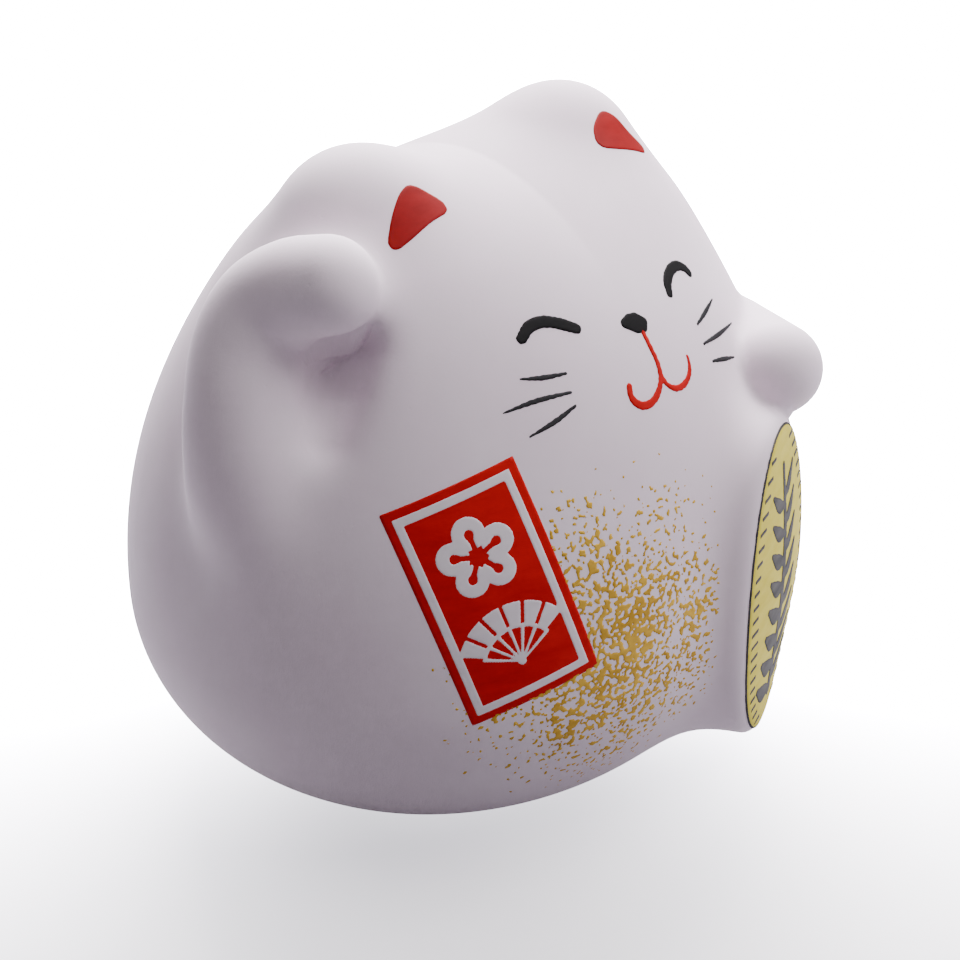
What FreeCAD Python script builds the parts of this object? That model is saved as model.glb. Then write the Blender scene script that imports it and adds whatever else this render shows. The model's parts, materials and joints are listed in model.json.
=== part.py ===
import FreeCAD, Part
import os

# Beckoning cat figurine: a slip-cast, hollow ceramic coin bank with a rubber stopper.
# The cat looks towards -Y, +X is the cat's left, +Z is up and the foot ring stands on z = 0.
# The body is turned about a vertical axis at (axis_x, axis_y); the origin is under the middle
# of the whole figure. All lengths are millimetres and all angles are degrees.

os.makedirs("parts", exist_ok=True)
doc = FreeCAD.newDocument("beckoning_cat")

DIMENSIONS = [
    # the frame: where the body's own axis stands
    ("axis_x", 0), ("axis_y", 0.2),
    # the egg of the body: two half ellipsoids that meet at its widest level
    ("body_half_width", 47), ("body_half_depth", 40.5), ("widest_level", 25.5),
    ("upper_height", 52), ("lower_height", 33.5),
    ("wall", 4),
    # ears: a wide cone that leans outwards, with a round tip
    ("ear_offset", 18.3), ("ear_forward", 0.8), ("ear_level", 75.7), ("ear_lean", 25),
    ("ear_tip_radius", 6.7), ("ear_root_radius", 21), ("ear_root_depth", 14),
    ("ear_neck_radius", 4.8), ("ear_neck_height", 4.3),
    # bobtail at the lower back
    ("tail_level", 17), ("tail_radius", 7), ("tail_depth", 4.5),
    # foot and base opening
    ("recess_radius", 21), ("recess_depth", 3.2), ("base_thickness", 3.8),
    ("hole_radius", 15),
    # coin slot in the upper back
    ("slot_length", 29), ("slot_width", 3.2), ("slot_level", 60), ("slot_set_back", 30.3),
    ("slot_slope", 34.6),
    # stopper: a flanged cup pressed up into the base opening
    ("stopper_clearance", 0.05), ("stopper_flange_radius", 18.5), ("stopper_flange", 1.5),
    ("stopper_plug", 8.6), ("stopper_cup_wall", 2.2), ("stopper_taper", 0.8),
    # koban: an oval coin on a block that grows out of the belly
    ("koban_x", 15.4), ("koban_forward", 39.5), ("koban_level", 26.4), ("koban_turn", 22.5),
    ("koban_half_length", 21.4), ("koban_half_width", 12.2), ("plinth_margin", 0.8),
    ("plinth_depth", 14), ("plinth_edge_radius", 1.6), ("transfer_thickness", 0.3),
    ("koban_rim", 3.4),
    # coat: how far paint and transfers stand proud of the bisque
    ("coat", 0.3),
    # label transfer on the cat's right side of the belly
    ("label_x", -25.9), ("label_forward", 29.3), ("label_level", 39), ("label_width", 16.2),
    ("label_height", 27.4), ("label_turn", -33.3), ("label_lean", -13), ("label_spin", -18.5),
    # gold dabbing on the belly
    ("gold_x", -13), ("gold_level", 32), ("gold_radius", 19), ("gold_turn", -17),
    ("gold_thickness", 0.2),
    # painted face
    ("eye_offset", 11.3), ("eye_top_level", 66), ("eye_arc_radius", 4.2), ("eye_half_sweep", 54),
    ("eye_stroke", 1.4),
    ("nose_level", 64.2), ("nose_width", 4), ("nose_height", 2), ("mouth_foot_level", 57.6),
    ("mouth_lobe_radius", 2.5), ("mouth_stroke", 0.9),
    ("whisker_start", 11), ("whisker_root_width", 0.75), ("whisker_tip_width", 0.3),
    # painted ear linings
    ("lining_x", 14.1), ("lining_level", 78.4), ("lining_length", 9.6), ("lining_width", 6.2),
    ("lining_spin", 52),
]
# whiskers from top to bottom: level at the root, length, and slope below level
WHISKERS = [(60.6, 6.0, -5), (58.7, 9.0, 5), (56.9, 6.8, 16)]
# raised foreleg from shoulder to wrist: x, y, z from the body axis at floor level, and radius
BECKONING_PATH = [
    (-36.4, -6.1, 40.0, 7.3),
    (-39.2, -4.7, 47.9, 7.0),
    (-39.9, -4.3, 53.9, 6.7),
    (-39.3, -3.7, 59.6, 6.2),
    (-37.2, -2.8, 65.3, 5.9),
    (-35.0, -3.8, 69.3, 5.8),
    (-33.4, -7.1, 72.0, 5.6),
]
BECKONING_PAW = (-31.8, -10.7, 73.1, 5.9)
# foreleg that reaches to the koban: shoulder, wrist and paw
KOBAN_SHOULDER = (32.6, -18.7, 48.2, 6.0)
KOBAN_WRIST = (24.0, -30.6, 50.9, 5.7)
KOBAN_PAW = (22.5, -32.6, 51.5, 6.0)
# the slab that cuts off everything below a level reaches this far out and this far down
SLAB_REACH = 60
SLAB_DEPTH = 40


def make_sheet():
    """Write the driving dimensions into a spreadsheet, one alias to a row."""
    sheet = doc.addObject("Spreadsheet::Sheet", "dims")
    for row, (alias, value) in enumerate(DIMENSIONS, start=1):
        sheet.set(f"A{row}", alias)
        sheet.set(f"B{row}", str(value))
        sheet.setAlias(f"B{row}", alias)
    doc.recompute()
    return sheet


dims = make_sheet()
X, Y, Z = FreeCAD.Vector(1, 0, 0), FreeCAD.Vector(0, 1, 0), FreeCAD.Vector(0, 0, 1)


# ---- helpers ------------------------------------------------------------------------------

def size(alias):
    """Read one driving dimension as a number."""
    return float(getattr(dims, alias))


def primitive(kind, name, position=None, rotation=None, **expressions):
    """Add a Part object, bind its sizes to the sheet and set it at a place from the body axis."""
    item = doc.addObject(kind, name)
    for prop, expression in expressions.items():
        item.setExpression(prop, str(expression))
    if rotation is not None:
        item.Placement = FreeCAD.Placement(FreeCAD.Vector(), rotation)
    x, y, z = position or ("0", "0", "0")
    item.setExpression("Placement.Base.x", f"dims.axis_x + ({x})")
    item.setExpression("Placement.Base.y", f"dims.axis_y + ({y})")
    item.setExpression("Placement.Base.z", str(z))
    return item


def fuse(name, shapes):
    item = doc.addObject("Part::MultiFuse", name)
    item.Shapes = shapes
    return item


def common(name, shapes):
    item = doc.addObject("Part::MultiCommon", name)
    item.Shapes = shapes
    return item


def cut(name, base, tool):
    item = doc.addObject("Part::Cut", name)
    item.Base = base
    item.Tool = tool
    return item


def facing(turn, lean=0.0, spin=0.0):
    """Rotation of a plate that faces -Y: spun in its plane, leant back, then turned about +Z."""
    turned = FreeCAD.Rotation(Z, turn)
    leant = FreeCAD.Rotation(X, lean)
    spun = FreeCAD.Rotation(Y, spin)
    return turned * leant * spun


def along(start, end):
    """Rotation that carries +Z onto the line from start to end."""
    line = FreeCAD.Vector(*end[:3]) - FreeCAD.Vector(*start[:3])
    return FreeCAD.Rotation(Z, line)


# ---- the body -----------------------------------------------------------------------------

def egg(name, grow):
    """Egg of the body, grown evenly by an expression and cut off level at the floor."""
    halves = []
    for half, height, low, high in (("upper", "upper_height", 0, 90),
                                    ("lower", "lower_height", -90, 0)):
        part = primitive("Part::Ellipsoid", f"{name}_{half}", ("0", "0", "dims.widest_level"),
                         Radius1=f"dims.{height} + {grow}",
                         Radius2=f"dims.body_half_width + {grow}",
                         Radius3=f"dims.body_half_depth + {grow}")
        part.Angle1 = low
        part.Angle2 = high
        halves.append(part)
    return fuse(name, halves)


def ear(name, side, grow):
    """One ear: a cone that starts inside the head and leans outwards, with a round tip."""
    lean = FreeCAD.Rotation(Y, side * size("ear_lean"))
    root = lean.multVec(Z * -size("ear_root_depth"))
    middle = (f"{side} * dims.ear_offset", "-dims.ear_forward", "dims.ear_level")
    cone = primitive("Part::Cone", f"{name}_cone",
                     (f"{middle[0]} + {root.x}", middle[1], f"{middle[2]} + {root.z}"), lean,
                     Radius1=f"dims.ear_root_radius + {grow}",
                     Radius2=f"dims.ear_neck_radius + {grow}",
                     Height="dims.ear_root_depth + dims.ear_neck_height")
    tip = primitive("Part::Sphere", f"{name}_tip", middle,
                    Radius=f"dims.ear_tip_radius + {grow}")
    return [cone, tip]


def slab(name, top):
    """Wide slab from below the floor up to a level."""
    return primitive("Part::Box", name, (-SLAB_REACH, -SLAB_REACH, -SLAB_DEPTH),
                     Length=2 * SLAB_REACH, Width=2 * SLAB_REACH, Height=f"{SLAB_DEPTH} + {top}")


def cat_form(name, grow):
    """Solid outer form of body and ears, grown evenly by an expression."""
    members = [egg(f"{name}_egg", grow)]
    members += ear(f"{name}_right_ear", -1, grow)
    members += ear(f"{name}_left_ear", 1, grow)
    return fuse(name, members)


def make_outer_form():
    """The outer form with its bobtail, standing on the floor."""
    tail = primitive("Part::Ellipsoid", "tail", ("0", "dims.body_half_depth - 1", "dims.tail_level"),
                     Radius1="dims.tail_radius", Radius2="dims.tail_radius",
                     Radius3="dims.tail_depth")
    with_tail = fuse("form_with_tail", [cat_form("bare_form", "0"), tail])
    return cut("outer_form", with_tail, slab("below_floor", "0"))


def make_body_shell(outer):
    """Hollow body: cavity, recessed base, stopper hole and coin slot."""
    cavity_egg = egg("cavity_egg", "-dims.wall")
    base_slab = slab("base_slab", "dims.recess_depth + dims.base_thickness")
    cavity = cut("cavity", cavity_egg, base_slab)
    recess = primitive("Part::Cylinder", "base_recess", ("0", "0", "-1"),
                       Radius="dims.recess_radius", Height="1 + dims.recess_depth")
    hole = primitive("Part::Cylinder", "stopper_hole", ("0", "0", "-1"),
                     Radius="dims.hole_radius",
                     Height="2 + dims.recess_depth + dims.base_thickness")
    depth = 14
    slope = FreeCAD.Rotation(X, size("slot_slope"))
    middle = FreeCAD.Vector(-size("slot_length") / 2, -depth / 2, -size("slot_width") / 2)
    corner = slope.multVec(middle)
    slot = primitive("Part::Box", "coin_slot",
                     (corner.x, f"dims.slot_set_back + {corner.y}", f"dims.slot_level + {corner.z}"),
                     slope, Length="dims.slot_length", Width=depth, Height="dims.slot_width")
    openings = fuse("body_openings", [cavity, recess, hole, slot])
    return cut("body_shell", outer, openings)


# ---- forelegs and koban block -------------------------------------------------------------

def make_beckoning_arm(outer):
    """Raised foreleg: a loft through round sections with a ball for the curled paw."""
    rings = []
    count = len(BECKONING_PATH)
    for index, (x, y, z, radius) in enumerate(BECKONING_PATH):
        before = BECKONING_PATH[max(index - 1, 0)]
        after = BECKONING_PATH[min(index + 1, count - 1)]
        rings.append(primitive("Part::Circle", f"foreleg_ring_{index}", (x, y, z),
                               along(before, after), Radius=radius))
    leg = doc.addObject("Part::Loft", "beckoning_leg")
    leg.Sections = rings
    leg.Solid = True
    x, y, z, radius = BECKONING_PAW
    paw = primitive("Part::Sphere", "beckoning_paw", (x, y, z), Radius=radius)
    return cut("beckoning_arm", fuse("beckoning_solid", [leg, paw]), outer)


def make_koban_plinth(outer):
    """Block behind the koban: an oval prism with a softened front edge, trimmed by the belly."""
    turn = facing(size("koban_turn"))
    back = turn.multVec(Y * size("plinth_depth"))
    oval = primitive("Part::Ellipse", "plinth_oval",
                     (f"dims.koban_x + {back.x}", f"-dims.koban_forward + {back.y}",
                      "dims.koban_level"),
                     turn * FreeCAD.Rotation(X, 90) * FreeCAD.Rotation(Z, 90),
                     MajorRadius="dims.koban_half_length + dims.plinth_margin",
                     MinorRadius="dims.koban_half_width + dims.plinth_margin")
    prism = doc.addObject("Part::Extrusion", "plinth_prism")
    prism.Base = oval
    prism.Dir = -back.normalize()
    prism.Solid = True
    prism.setExpression("LengthFwd", "dims.plinth_depth")
    doc.recompute()
    front_edge = farthest_edge(prism.Shape, prism.Dir)
    softened = doc.addObject("Part::Fillet", "plinth_softened")
    softened.Base = prism
    radius = size("plinth_edge_radius")
    softened.Edges = [(front_edge, radius, radius)]
    return cut("koban_plinth", softened, outer), softened


def farthest_edge(shape, direction):
    """Number of the edge whose middle lies farthest along a direction."""
    reach = [edge.CenterOfMass.dot(direction) if edge.Length > 10 else -1e9 for edge in shape.Edges]
    # a lengthwise seam lies half way back, so the front oval wins
    return reach.index(max(reach)) + 1


def make_koban_arm(outer, plinth_form):
    """Foreleg whose paw lies on top of the koban."""
    x, y, z, radius = KOBAN_SHOULDER
    end_radius = KOBAN_WRIST[3]
    length = (FreeCAD.Vector(*KOBAN_WRIST[:3]) - FreeCAD.Vector(x, y, z)).Length
    leg = primitive("Part::Cone", "koban_leg", (x, y, z), along(KOBAN_SHOULDER, KOBAN_WRIST),
                    Radius1=radius, Radius2=end_radius, Height=length)
    x, y, z, radius = KOBAN_PAW
    paw = primitive("Part::Sphere", "koban_paw", (x, y, z), Radius=radius)
    solid = fuse("koban_arm_solid", [leg, paw])
    clear = fuse("behind_koban_arm", [outer, plinth_form])
    return cut("koban_arm", solid, clear), solid


# ---- paint and transfers ------------------------------------------------------------------

def koban_layer(name, long_radius, short_radius, lift, thickness):
    """Oval layer on the plinth's face, lifted off it by a distance."""
    turn = facing(size("koban_turn"))
    out = turn.multVec(Y * -1)
    oval = primitive("Part::Ellipse", f"{name}_oval",
                     (f"dims.koban_x + {out.x} * ({lift})",
                      f"-dims.koban_forward + {out.y} * ({lift})", "dims.koban_level"),
                     turn * FreeCAD.Rotation(X, 90) * FreeCAD.Rotation(Z, 90),
                     MajorRadius=long_radius, MinorRadius=short_radius)
    layer = doc.addObject("Part::Extrusion", name)
    layer.Base = oval
    layer.Dir = out
    layer.Solid = True
    layer.setExpression("LengthFwd", thickness)
    return layer


def mark(name, cutter, coat_form, outer):
    """Painted mark: the cutter's footprint on the coat, with the bisque taken away."""
    return cut(name, common(f"{name}_skin", [coat_form, cutter]), outer)


def plate(name, middle, rotation, width, height, depth):
    """Box cutter with its middle at a place, its width along its own X and height along its Z."""
    half = rotation.multVec(FreeCAD.Vector(-width / 2, -depth / 2, -height / 2))
    x, y, z = middle
    return primitive("Part::Box", name, (f"{x} + {half.x}", f"{y} + {half.y}", f"{z} + {half.z}"),
                     rotation, Length=width, Width=depth, Height=height)


def ring_sector(name, x, z, radius, stroke, start, sweep):
    """Arc-shaped brush stroke as a cutter through the face, seen from the front."""
    reach, depth = -40, 30
    turn = FreeCAD.Rotation(X, 90) * FreeCAD.Rotation(Z, start)
    place = (x, reach + depth, z)
    outside = primitive("Part::Cylinder", f"{name}_outside", place, turn,
                        Radius=f"{radius} + {stroke} / 2", Height=depth, Angle=sweep)
    inside = primitive("Part::Cylinder", f"{name}_inside", place, turn,
                       Radius=f"{radius} - {stroke} / 2", Height=depth)
    return cut(name, outside, inside)


def tapered_stroke(name, x, z, slope, length, root_width, tip_width):
    """Straight stroke that narrows, as a cutter through the face, seen from the front."""
    reach, depth = -40, 30
    item = primitive("Part::Wedge", name, (x, reach, z),
                     FreeCAD.Rotation(Y, slope) * FreeCAD.Rotation(Z, -90))
    # after the rotation its own Y runs along the stroke and its own X runs back into the face
    item.setExpression("Xmin", str(-depth))
    item.setExpression("Xmax", "0")
    item.setExpression("X2min", str(-depth))
    item.setExpression("X2max", "0")
    item.setExpression("Ymin", "0")
    item.setExpression("Ymax", length)
    item.setExpression("Zmin", f"-({root_width}) / 2")
    item.setExpression("Zmax", f"({root_width}) / 2")
    item.setExpression("Z2min", f"-({tip_width}) / 2")
    item.setExpression("Z2max", f"({tip_width}) / 2")
    return item


def make_face(coat_form, outer):
    """Eyes, nose, mouth and whiskers."""
    pieces = []
    for side, word in ((-1, "right"), (1, "left")):
        sweep = size("eye_half_sweep")
        stroke = ring_sector(f"eye_stroke_{word}", f"{side} * dims.eye_offset",
                             "dims.eye_top_level - dims.eye_arc_radius", "dims.eye_arc_radius",
                             "dims.eye_stroke", 90 - sweep, 2 * sweep)
        pieces.append(mark(f"eye_{word}", stroke, coat_form, outer))

        hairs = []
        for row, (level, length, slope) in enumerate(WHISKERS):
            tilt = slope if side > 0 else 180 - slope
            hairs.append(tapered_stroke(f"whisker_{word}_{row}", f"{side} * dims.whisker_start",
                                        level, tilt, str(length), "dims.whisker_root_width",
                                        "dims.whisker_tip_width"))
        pieces.append(mark(f"whiskers_{word}", fuse(f"whisker_cutters_{word}", hairs),
                           coat_form, outer))

    nose = tapered_stroke("nose_dab", "0", "dims.nose_level", 90, "dims.nose_height",
                          "dims.nose_width", "dims.nose_width / 3")
    pieces.append(mark("nose", nose, coat_form, outer))

    stem = tapered_stroke("mouth_stem", "0", "dims.nose_level - dims.nose_height", 90,
                          "dims.nose_level - dims.nose_height - dims.mouth_foot_level",
                          "dims.mouth_stroke", "dims.mouth_stroke")
    lobes = [ring_sector(f"mouth_lobe_{word}", f"{side} * dims.mouth_lobe_radius",
                         "dims.mouth_foot_level", "dims.mouth_lobe_radius", "dims.mouth_stroke",
                         180, 180)
             for side, word in ((-1, "right"), (1, "left"))]
    pieces.append(mark("mouth", fuse("mouth_cutter", [stem, *lobes]), coat_form, outer))
    return pieces


def make_ear_linings(coat_form, outer):
    """Red wedge-shaped patches on the front of the ears, blunt end up and inwards."""
    pieces = []
    for side, word in ((-1, "right"), (1, "left")):
        spin = size("lining_spin")
        tilt = spin if side > 0 else 180 - spin
        cutter = tapered_stroke(f"lining_cutter_{word}", f"{side} * dims.lining_x",
                                "dims.lining_level", tilt, "dims.lining_length",
                                "dims.lining_width", "1.5")
        pieces.append(mark(f"ear_lining_{word}", cutter, coat_form, outer))
    return pieces


def make_stopper():
    """Soft flanged cup, turned from one profile, pushed up into the base opening."""
    bottom = size("recess_depth") - size("stopper_flange")
    shoulder = size("recess_depth")
    top = shoulder + size("stopper_plug")
    outer_radius = size("hole_radius") - size("stopper_clearance")
    top_radius = outer_radius - size("stopper_taper")
    inner_radius = outer_radius - size("stopper_cup_wall")
    parallel = shoulder + size("base_thickness")
    floor = shoulder + 1.0
    profile = [(0, bottom), (size("stopper_flange_radius"), bottom),
               (size("stopper_flange_radius"), shoulder), (outer_radius, shoulder),
               (outer_radius, parallel), (top_radius, top),
               (top_radius - size("stopper_cup_wall"), top), (inner_radius - 1, floor),
               (0, floor), (0, bottom)]
    wire = Part.makePolygon([FreeCAD.Vector(radius, 0, level) for radius, level in profile])
    turned = Part.Face(wire).revolve(FreeCAD.Vector(), Z, 360)
    stopper = doc.addObject("Part::Feature", "stopper")
    stopper.Shape = turned
    stopper.Placement = FreeCAD.Placement(FreeCAD.Vector(size("axis_x"), size("axis_y"), 0),
                                          FreeCAD.Rotation())
    return stopper


# ---- build and write ----------------------------------------------------------------------

outer_form = make_outer_form()
coat = cat_form("coat_form", "dims.coat")
koban_plinth, plinth_form = make_koban_plinth(outer_form)
koban_arm, koban_arm_form = make_koban_arm(outer_form, plinth_form)

koban_transfer = koban_layer("koban_transfer", "dims.koban_half_length", "dims.koban_half_width",
                             "0", "dims.transfer_thickness")
koban_print = koban_layer("koban_print", "dims.koban_half_length - dims.koban_rim",
                          "dims.koban_half_width / 3", "dims.transfer_thickness",
                          "dims.transfer_thickness")

label_cutter = plate("label_cutter", ("dims.label_x", "-dims.label_forward", "dims.label_level"),
                     facing(size("label_turn"), size("label_lean"), size("label_spin")),
                     size("label_width"), size("label_height"), 16)
luck_label = mark("luck_label", label_cutter, coat, outer_form)

gold_form = egg("gold_form", "dims.gold_thickness")
gold_disc = primitive("Part::Cylinder", "gold_disc", ("dims.gold_x", "-10", "dims.gold_level"),
                      facing(size("gold_turn")) * FreeCAD.Rotation(X, 90),
                      Radius="dims.gold_radius", Height="50")
around_gold = fuse("around_gold", [outer_form, plinth_form, label_cutter])
gold_dabbing = cut("gold_dabbing", common("gold_skin", [gold_form, gold_disc]), around_gold)

sub_parts = [make_body_shell(outer_form), make_beckoning_arm(outer_form), koban_arm, koban_plinth,
             koban_transfer, koban_print, luck_label, gold_dabbing]
sub_parts += make_ear_linings(coat, outer_form)
sub_parts += make_face(coat, fuse("behind_face", [outer_form, koban_arm_form]))
sub_parts.append(make_stopper())
doc.recompute()

for item in doc.Objects:
    if "Invalid" in item.State or "Error" in item.State:
        raise SystemExit(f"{item.Name} failed: {item.State}")

whole = FreeCAD.BoundBox()
for item in sub_parts:
    if item.Shape.isNull() or not item.Shape.isValid() or not item.Shape.Solids:
        raise SystemExit(f"{item.Name} has no valid solid")
    item.Label = item.Name
    whole.add(item.Shape.optimalBoundingBox())
    print(f"{item.Label}: {len(item.Shape.Solids)} solid(s), {item.Shape.Volume:.1f} mm3")
    item.Shape.exportStep(f"parts/{item.Label}.step")
print(f"whole: x {whole.XMin:.2f} to {whole.XMax:.2f}, y {whole.YMin:.2f} to {whole.YMax:.2f}, "
      f"z {whole.ZMin:.2f} to {whole.ZMax:.2f}")
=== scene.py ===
# %% [markdown]
# # A beckoning cat in white bisque
#
# The cat is a small round coin bank, cast in white clay and fired once, so it has no glaze.
# Its forelegs and the block behind its coin are made apart and joined on with wet clay, and
# its face, label and gold are painted or printed on last. This script builds the cat around
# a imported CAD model, the frame, which says where everything is. The frame is loaded first,
# and its box is kept so that the finished cat can be compared with it.

# %% Load the frame
import json
import bpy
import numpy as np
from mathutils import Matrix, Vector

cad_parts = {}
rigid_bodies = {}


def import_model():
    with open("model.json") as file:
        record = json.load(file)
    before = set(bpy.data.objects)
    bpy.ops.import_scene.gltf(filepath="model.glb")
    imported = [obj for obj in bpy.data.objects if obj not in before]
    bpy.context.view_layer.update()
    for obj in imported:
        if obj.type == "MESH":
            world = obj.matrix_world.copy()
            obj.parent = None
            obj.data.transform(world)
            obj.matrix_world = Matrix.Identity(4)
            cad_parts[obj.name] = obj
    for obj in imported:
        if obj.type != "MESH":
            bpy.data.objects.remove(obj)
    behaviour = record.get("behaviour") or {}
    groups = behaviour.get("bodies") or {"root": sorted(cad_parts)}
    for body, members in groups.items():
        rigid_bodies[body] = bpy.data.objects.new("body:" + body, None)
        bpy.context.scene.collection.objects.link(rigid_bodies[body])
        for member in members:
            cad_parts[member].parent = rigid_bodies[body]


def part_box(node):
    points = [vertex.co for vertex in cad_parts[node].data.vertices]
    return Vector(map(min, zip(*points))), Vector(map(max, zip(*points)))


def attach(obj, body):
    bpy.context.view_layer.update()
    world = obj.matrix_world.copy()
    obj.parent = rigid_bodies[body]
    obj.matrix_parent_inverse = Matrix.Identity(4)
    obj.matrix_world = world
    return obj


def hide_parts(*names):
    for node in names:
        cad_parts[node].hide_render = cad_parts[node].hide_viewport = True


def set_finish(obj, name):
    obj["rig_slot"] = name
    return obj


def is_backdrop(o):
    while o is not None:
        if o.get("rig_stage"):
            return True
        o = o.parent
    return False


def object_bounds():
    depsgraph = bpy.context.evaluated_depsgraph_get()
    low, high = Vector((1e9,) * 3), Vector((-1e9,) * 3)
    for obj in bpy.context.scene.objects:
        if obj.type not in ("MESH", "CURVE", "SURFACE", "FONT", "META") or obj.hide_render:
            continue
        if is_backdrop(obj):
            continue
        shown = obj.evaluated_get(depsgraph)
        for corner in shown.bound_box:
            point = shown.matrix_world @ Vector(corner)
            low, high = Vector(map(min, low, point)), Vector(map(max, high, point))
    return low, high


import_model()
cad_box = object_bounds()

# %% [markdown]
# ## Working in the potter's units
#
# A potter thinks in millimetres from the middle of the foot, and Blender's file is in metres
# from the frame's origin. Doing sums in small plain numbers keeps mistakes out, so all shapes
# below are worked out in millimetres from the body's own axis, and one function turns them
# into the frame's metres. The axis is read from the stopper, which is turned about it.

# %% Find the body's axis and main sizes in the frame
MM = 0.001


def box_mm(node):
    """Lowest and highest corner of a CAD node in millimetres, from the frame's origin."""
    low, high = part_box(node)
    return np.array(low) / MM, np.array(high) / MM


stopper_low, stopper_high = box_mm("stopper")
shell_low, shell_high = box_mm("body_shell")
AXIS = np.array([*(stopper_low + stopper_high)[:2] / 2, 0.0])
HALF_WIDTH = (shell_high - shell_low)[0] / 2
HALF_DEPTH = AXIS[1] - shell_low[1]
print(f"axis {AXIS.round(2)}, half width {HALF_WIDTH:.2f}, half depth {HALF_DEPTH:.2f} mm")


def to_frame(points):
    """Points in millimetres from the body's axis, as metres in the frame."""
    return (np.asarray(points, float) + AXIS) * MM


# %% [markdown]
# ## Soft clay as a distance field
#
# Cast clay has no hard corners: an ear flows out of the head and a paw melts into the belly.
# It could be sculpted, or boxes could be joined and subdivided, but each joint would then
# need care. A distance field does it by arithmetic. A function says how far any point is
# from a simple shape, below zero inside it. The smaller of two distances joins two shapes,
# and a *smooth* smaller makes the fillet that a wet finger leaves. `soft_join` and `soft_cut`
# are those two moves, and their last number is the width of the blend in millimetres.

# %% Distance field tools
def soft_join(a, b, blend):
    """Union of two distance fields, with a fillet that starts and ends without a crease."""
    reach = 1.5 * blend
    overlap = np.maximum(1 - np.abs(a - b) / reach, 0)
    return np.minimum(a, b) - overlap ** 3 * reach / 6


def soft_cut(a, b, blend):
    """Field a with field b taken out of it, with rounded lips."""
    return -soft_join(-a, b, blend)


def limb(points, start, end):
    """Distance from a round bar that tapers from one ball to another; ends are x, y, z, radius."""
    start, end = np.array(start), np.array(end)
    axis = end[:3] - start[:3]
    length = np.linalg.norm(axis)
    taper = (start[3] - end[3]) / length
    side = np.sqrt(1 - taper ** 2)
    local = points - start[:3]
    along = local @ (axis / length)
    across = np.sqrt(np.maximum((local ** 2).sum(axis=-1) - along ** 2, 0))
    cone = across * side + along * taper - start[3]
    foot = along * side - across * taper
    first = np.hypot(across, along) - start[3]
    last = np.hypot(across, along - length) - end[3]
    return np.where(foot < 0, first, np.where(foot > length * side, last, cone))


def through(points, per_span=8):
    """Smooth curve through given points; every column is carried along."""
    points = np.array(points, float)
    ends = np.concatenate([2 * points[:1] - points[1:2], points, 2 * points[-1:] - points[-2:-1]])
    curve = []
    for p0, p1, p2, p3 in zip(ends, ends[1:], ends[2:], ends[3:]):
        t = np.linspace(0, 1, per_span, endpoint=False)[:, None]
        curve.append(0.5 * (2 * p1 + (p2 - p0) * t + (2 * p0 - 5 * p1 + 4 * p2 - p3) * t ** 2
                            + (3 * p1 - p0 - 3 * p2 + p3) * t ** 3))
    return np.concatenate([*curve, points[-1:]])


def turned_axes(turn, lean=0.0, spin=0.0):
    """Across, outward and upward directions of a plate on the front, turned about the
    vertical, leant back and spun in its own plane, all in degrees."""
    turn, lean, spin = np.radians([turn, lean, spin])
    outward = np.array([np.sin(turn) * np.cos(lean), -np.cos(turn) * np.cos(lean), np.sin(lean)])
    level = np.array([np.cos(turn), np.sin(turn), 0.0])
    upright = np.cross(level, outward) * -1
    across = level * np.cos(spin) + upright * np.sin(spin)
    upward = upright * np.cos(spin) - level * np.sin(spin)
    return across, outward, upward


def slope_of(field, points, step=0.02):
    """Gradient of a distance field by central differences."""
    parts = []
    for axis in range(3):
        shift = np.zeros(3)
        shift[axis] = step
        parts.append((field(points + shift) - field(points - shift)) / (2 * step))
    return np.stack(parts, axis=-1)


def new_piece(name, points, faces, smooth=False):
    """Mesh object from points in millimetres from the body's axis."""
    mesh = bpy.data.meshes.new(name)
    mesh.from_pydata(to_frame(points).tolist(), [], faces)
    mesh.polygons.foreach_set("use_smooth", [smooth] * len(faces))
    mesh.update()
    piece = bpy.data.objects.new(name, mesh)
    bpy.context.scene.collection.objects.link(piece)
    return piece


# %% [markdown]
# ## The cat's form
#
# The body is an egg made of two half ellipsoids that meet at the widest level. Ears are
# short tapered bars with a very wide blend, so that they read as soft hills. The raised
# foreleg is a chain of bars that bends forward at the wrist, the other foreleg is one bar
# that ends on the coin, and the coin stands on an oval block. The widths and depths come
# from the frame; the few values here are the ones that its boxes can't tell.

# %% Body, ears and tail
WIDEST_LEVEL = 25.5
UPPER_HEIGHT = 52.0
LOWER_HEIGHT = 33.5
EAR_ROOT = (17.2, -0.8, 64.8, 11.0)
EAR_TIP = (18.3, -0.6, 74.5, 6.8)
EAR_BLEND = 16.0
TAIL_ROOT = (0.0, HALF_DEPTH - 3.0, 15.0, 5.5)
TAIL_TIP = (0.0, HALF_DEPTH - 1.0, 18.5, 4.6)


def egg(points, grow=0.0):
    """Distance from the egg of the body, grown or shrunk evenly."""
    rise = points[..., 2] - WIDEST_LEVEL
    height = np.where(rise > 0, UPPER_HEIGHT, LOWER_HEIGHT) + grow
    scale = np.stack([np.full_like(rise, HALF_WIDTH + grow),
                      np.full_like(rise, HALF_DEPTH + grow), height], axis=-1)
    local = np.stack([points[..., 0], points[..., 1], rise], axis=-1)
    reach = np.linalg.norm(local / scale, axis=-1)
    steep = np.linalg.norm(local / scale ** 2, axis=-1)
    return (reach - 1) * reach / np.maximum(steep, 1e-9)


def mirrored(end, side):
    return (end[0] * side, *end[1:])


def body(points):
    """Egg, ears and bobtail."""
    ears = np.minimum(limb(points, mirrored(EAR_ROOT, -1), mirrored(EAR_TIP, -1)),
                      limb(points, EAR_ROOT, EAR_TIP))
    form = soft_join(egg(points), ears, EAR_BLEND)
    return soft_join(form, limb(points, TAIL_ROOT, TAIL_TIP), TAIL_BLEND)


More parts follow.
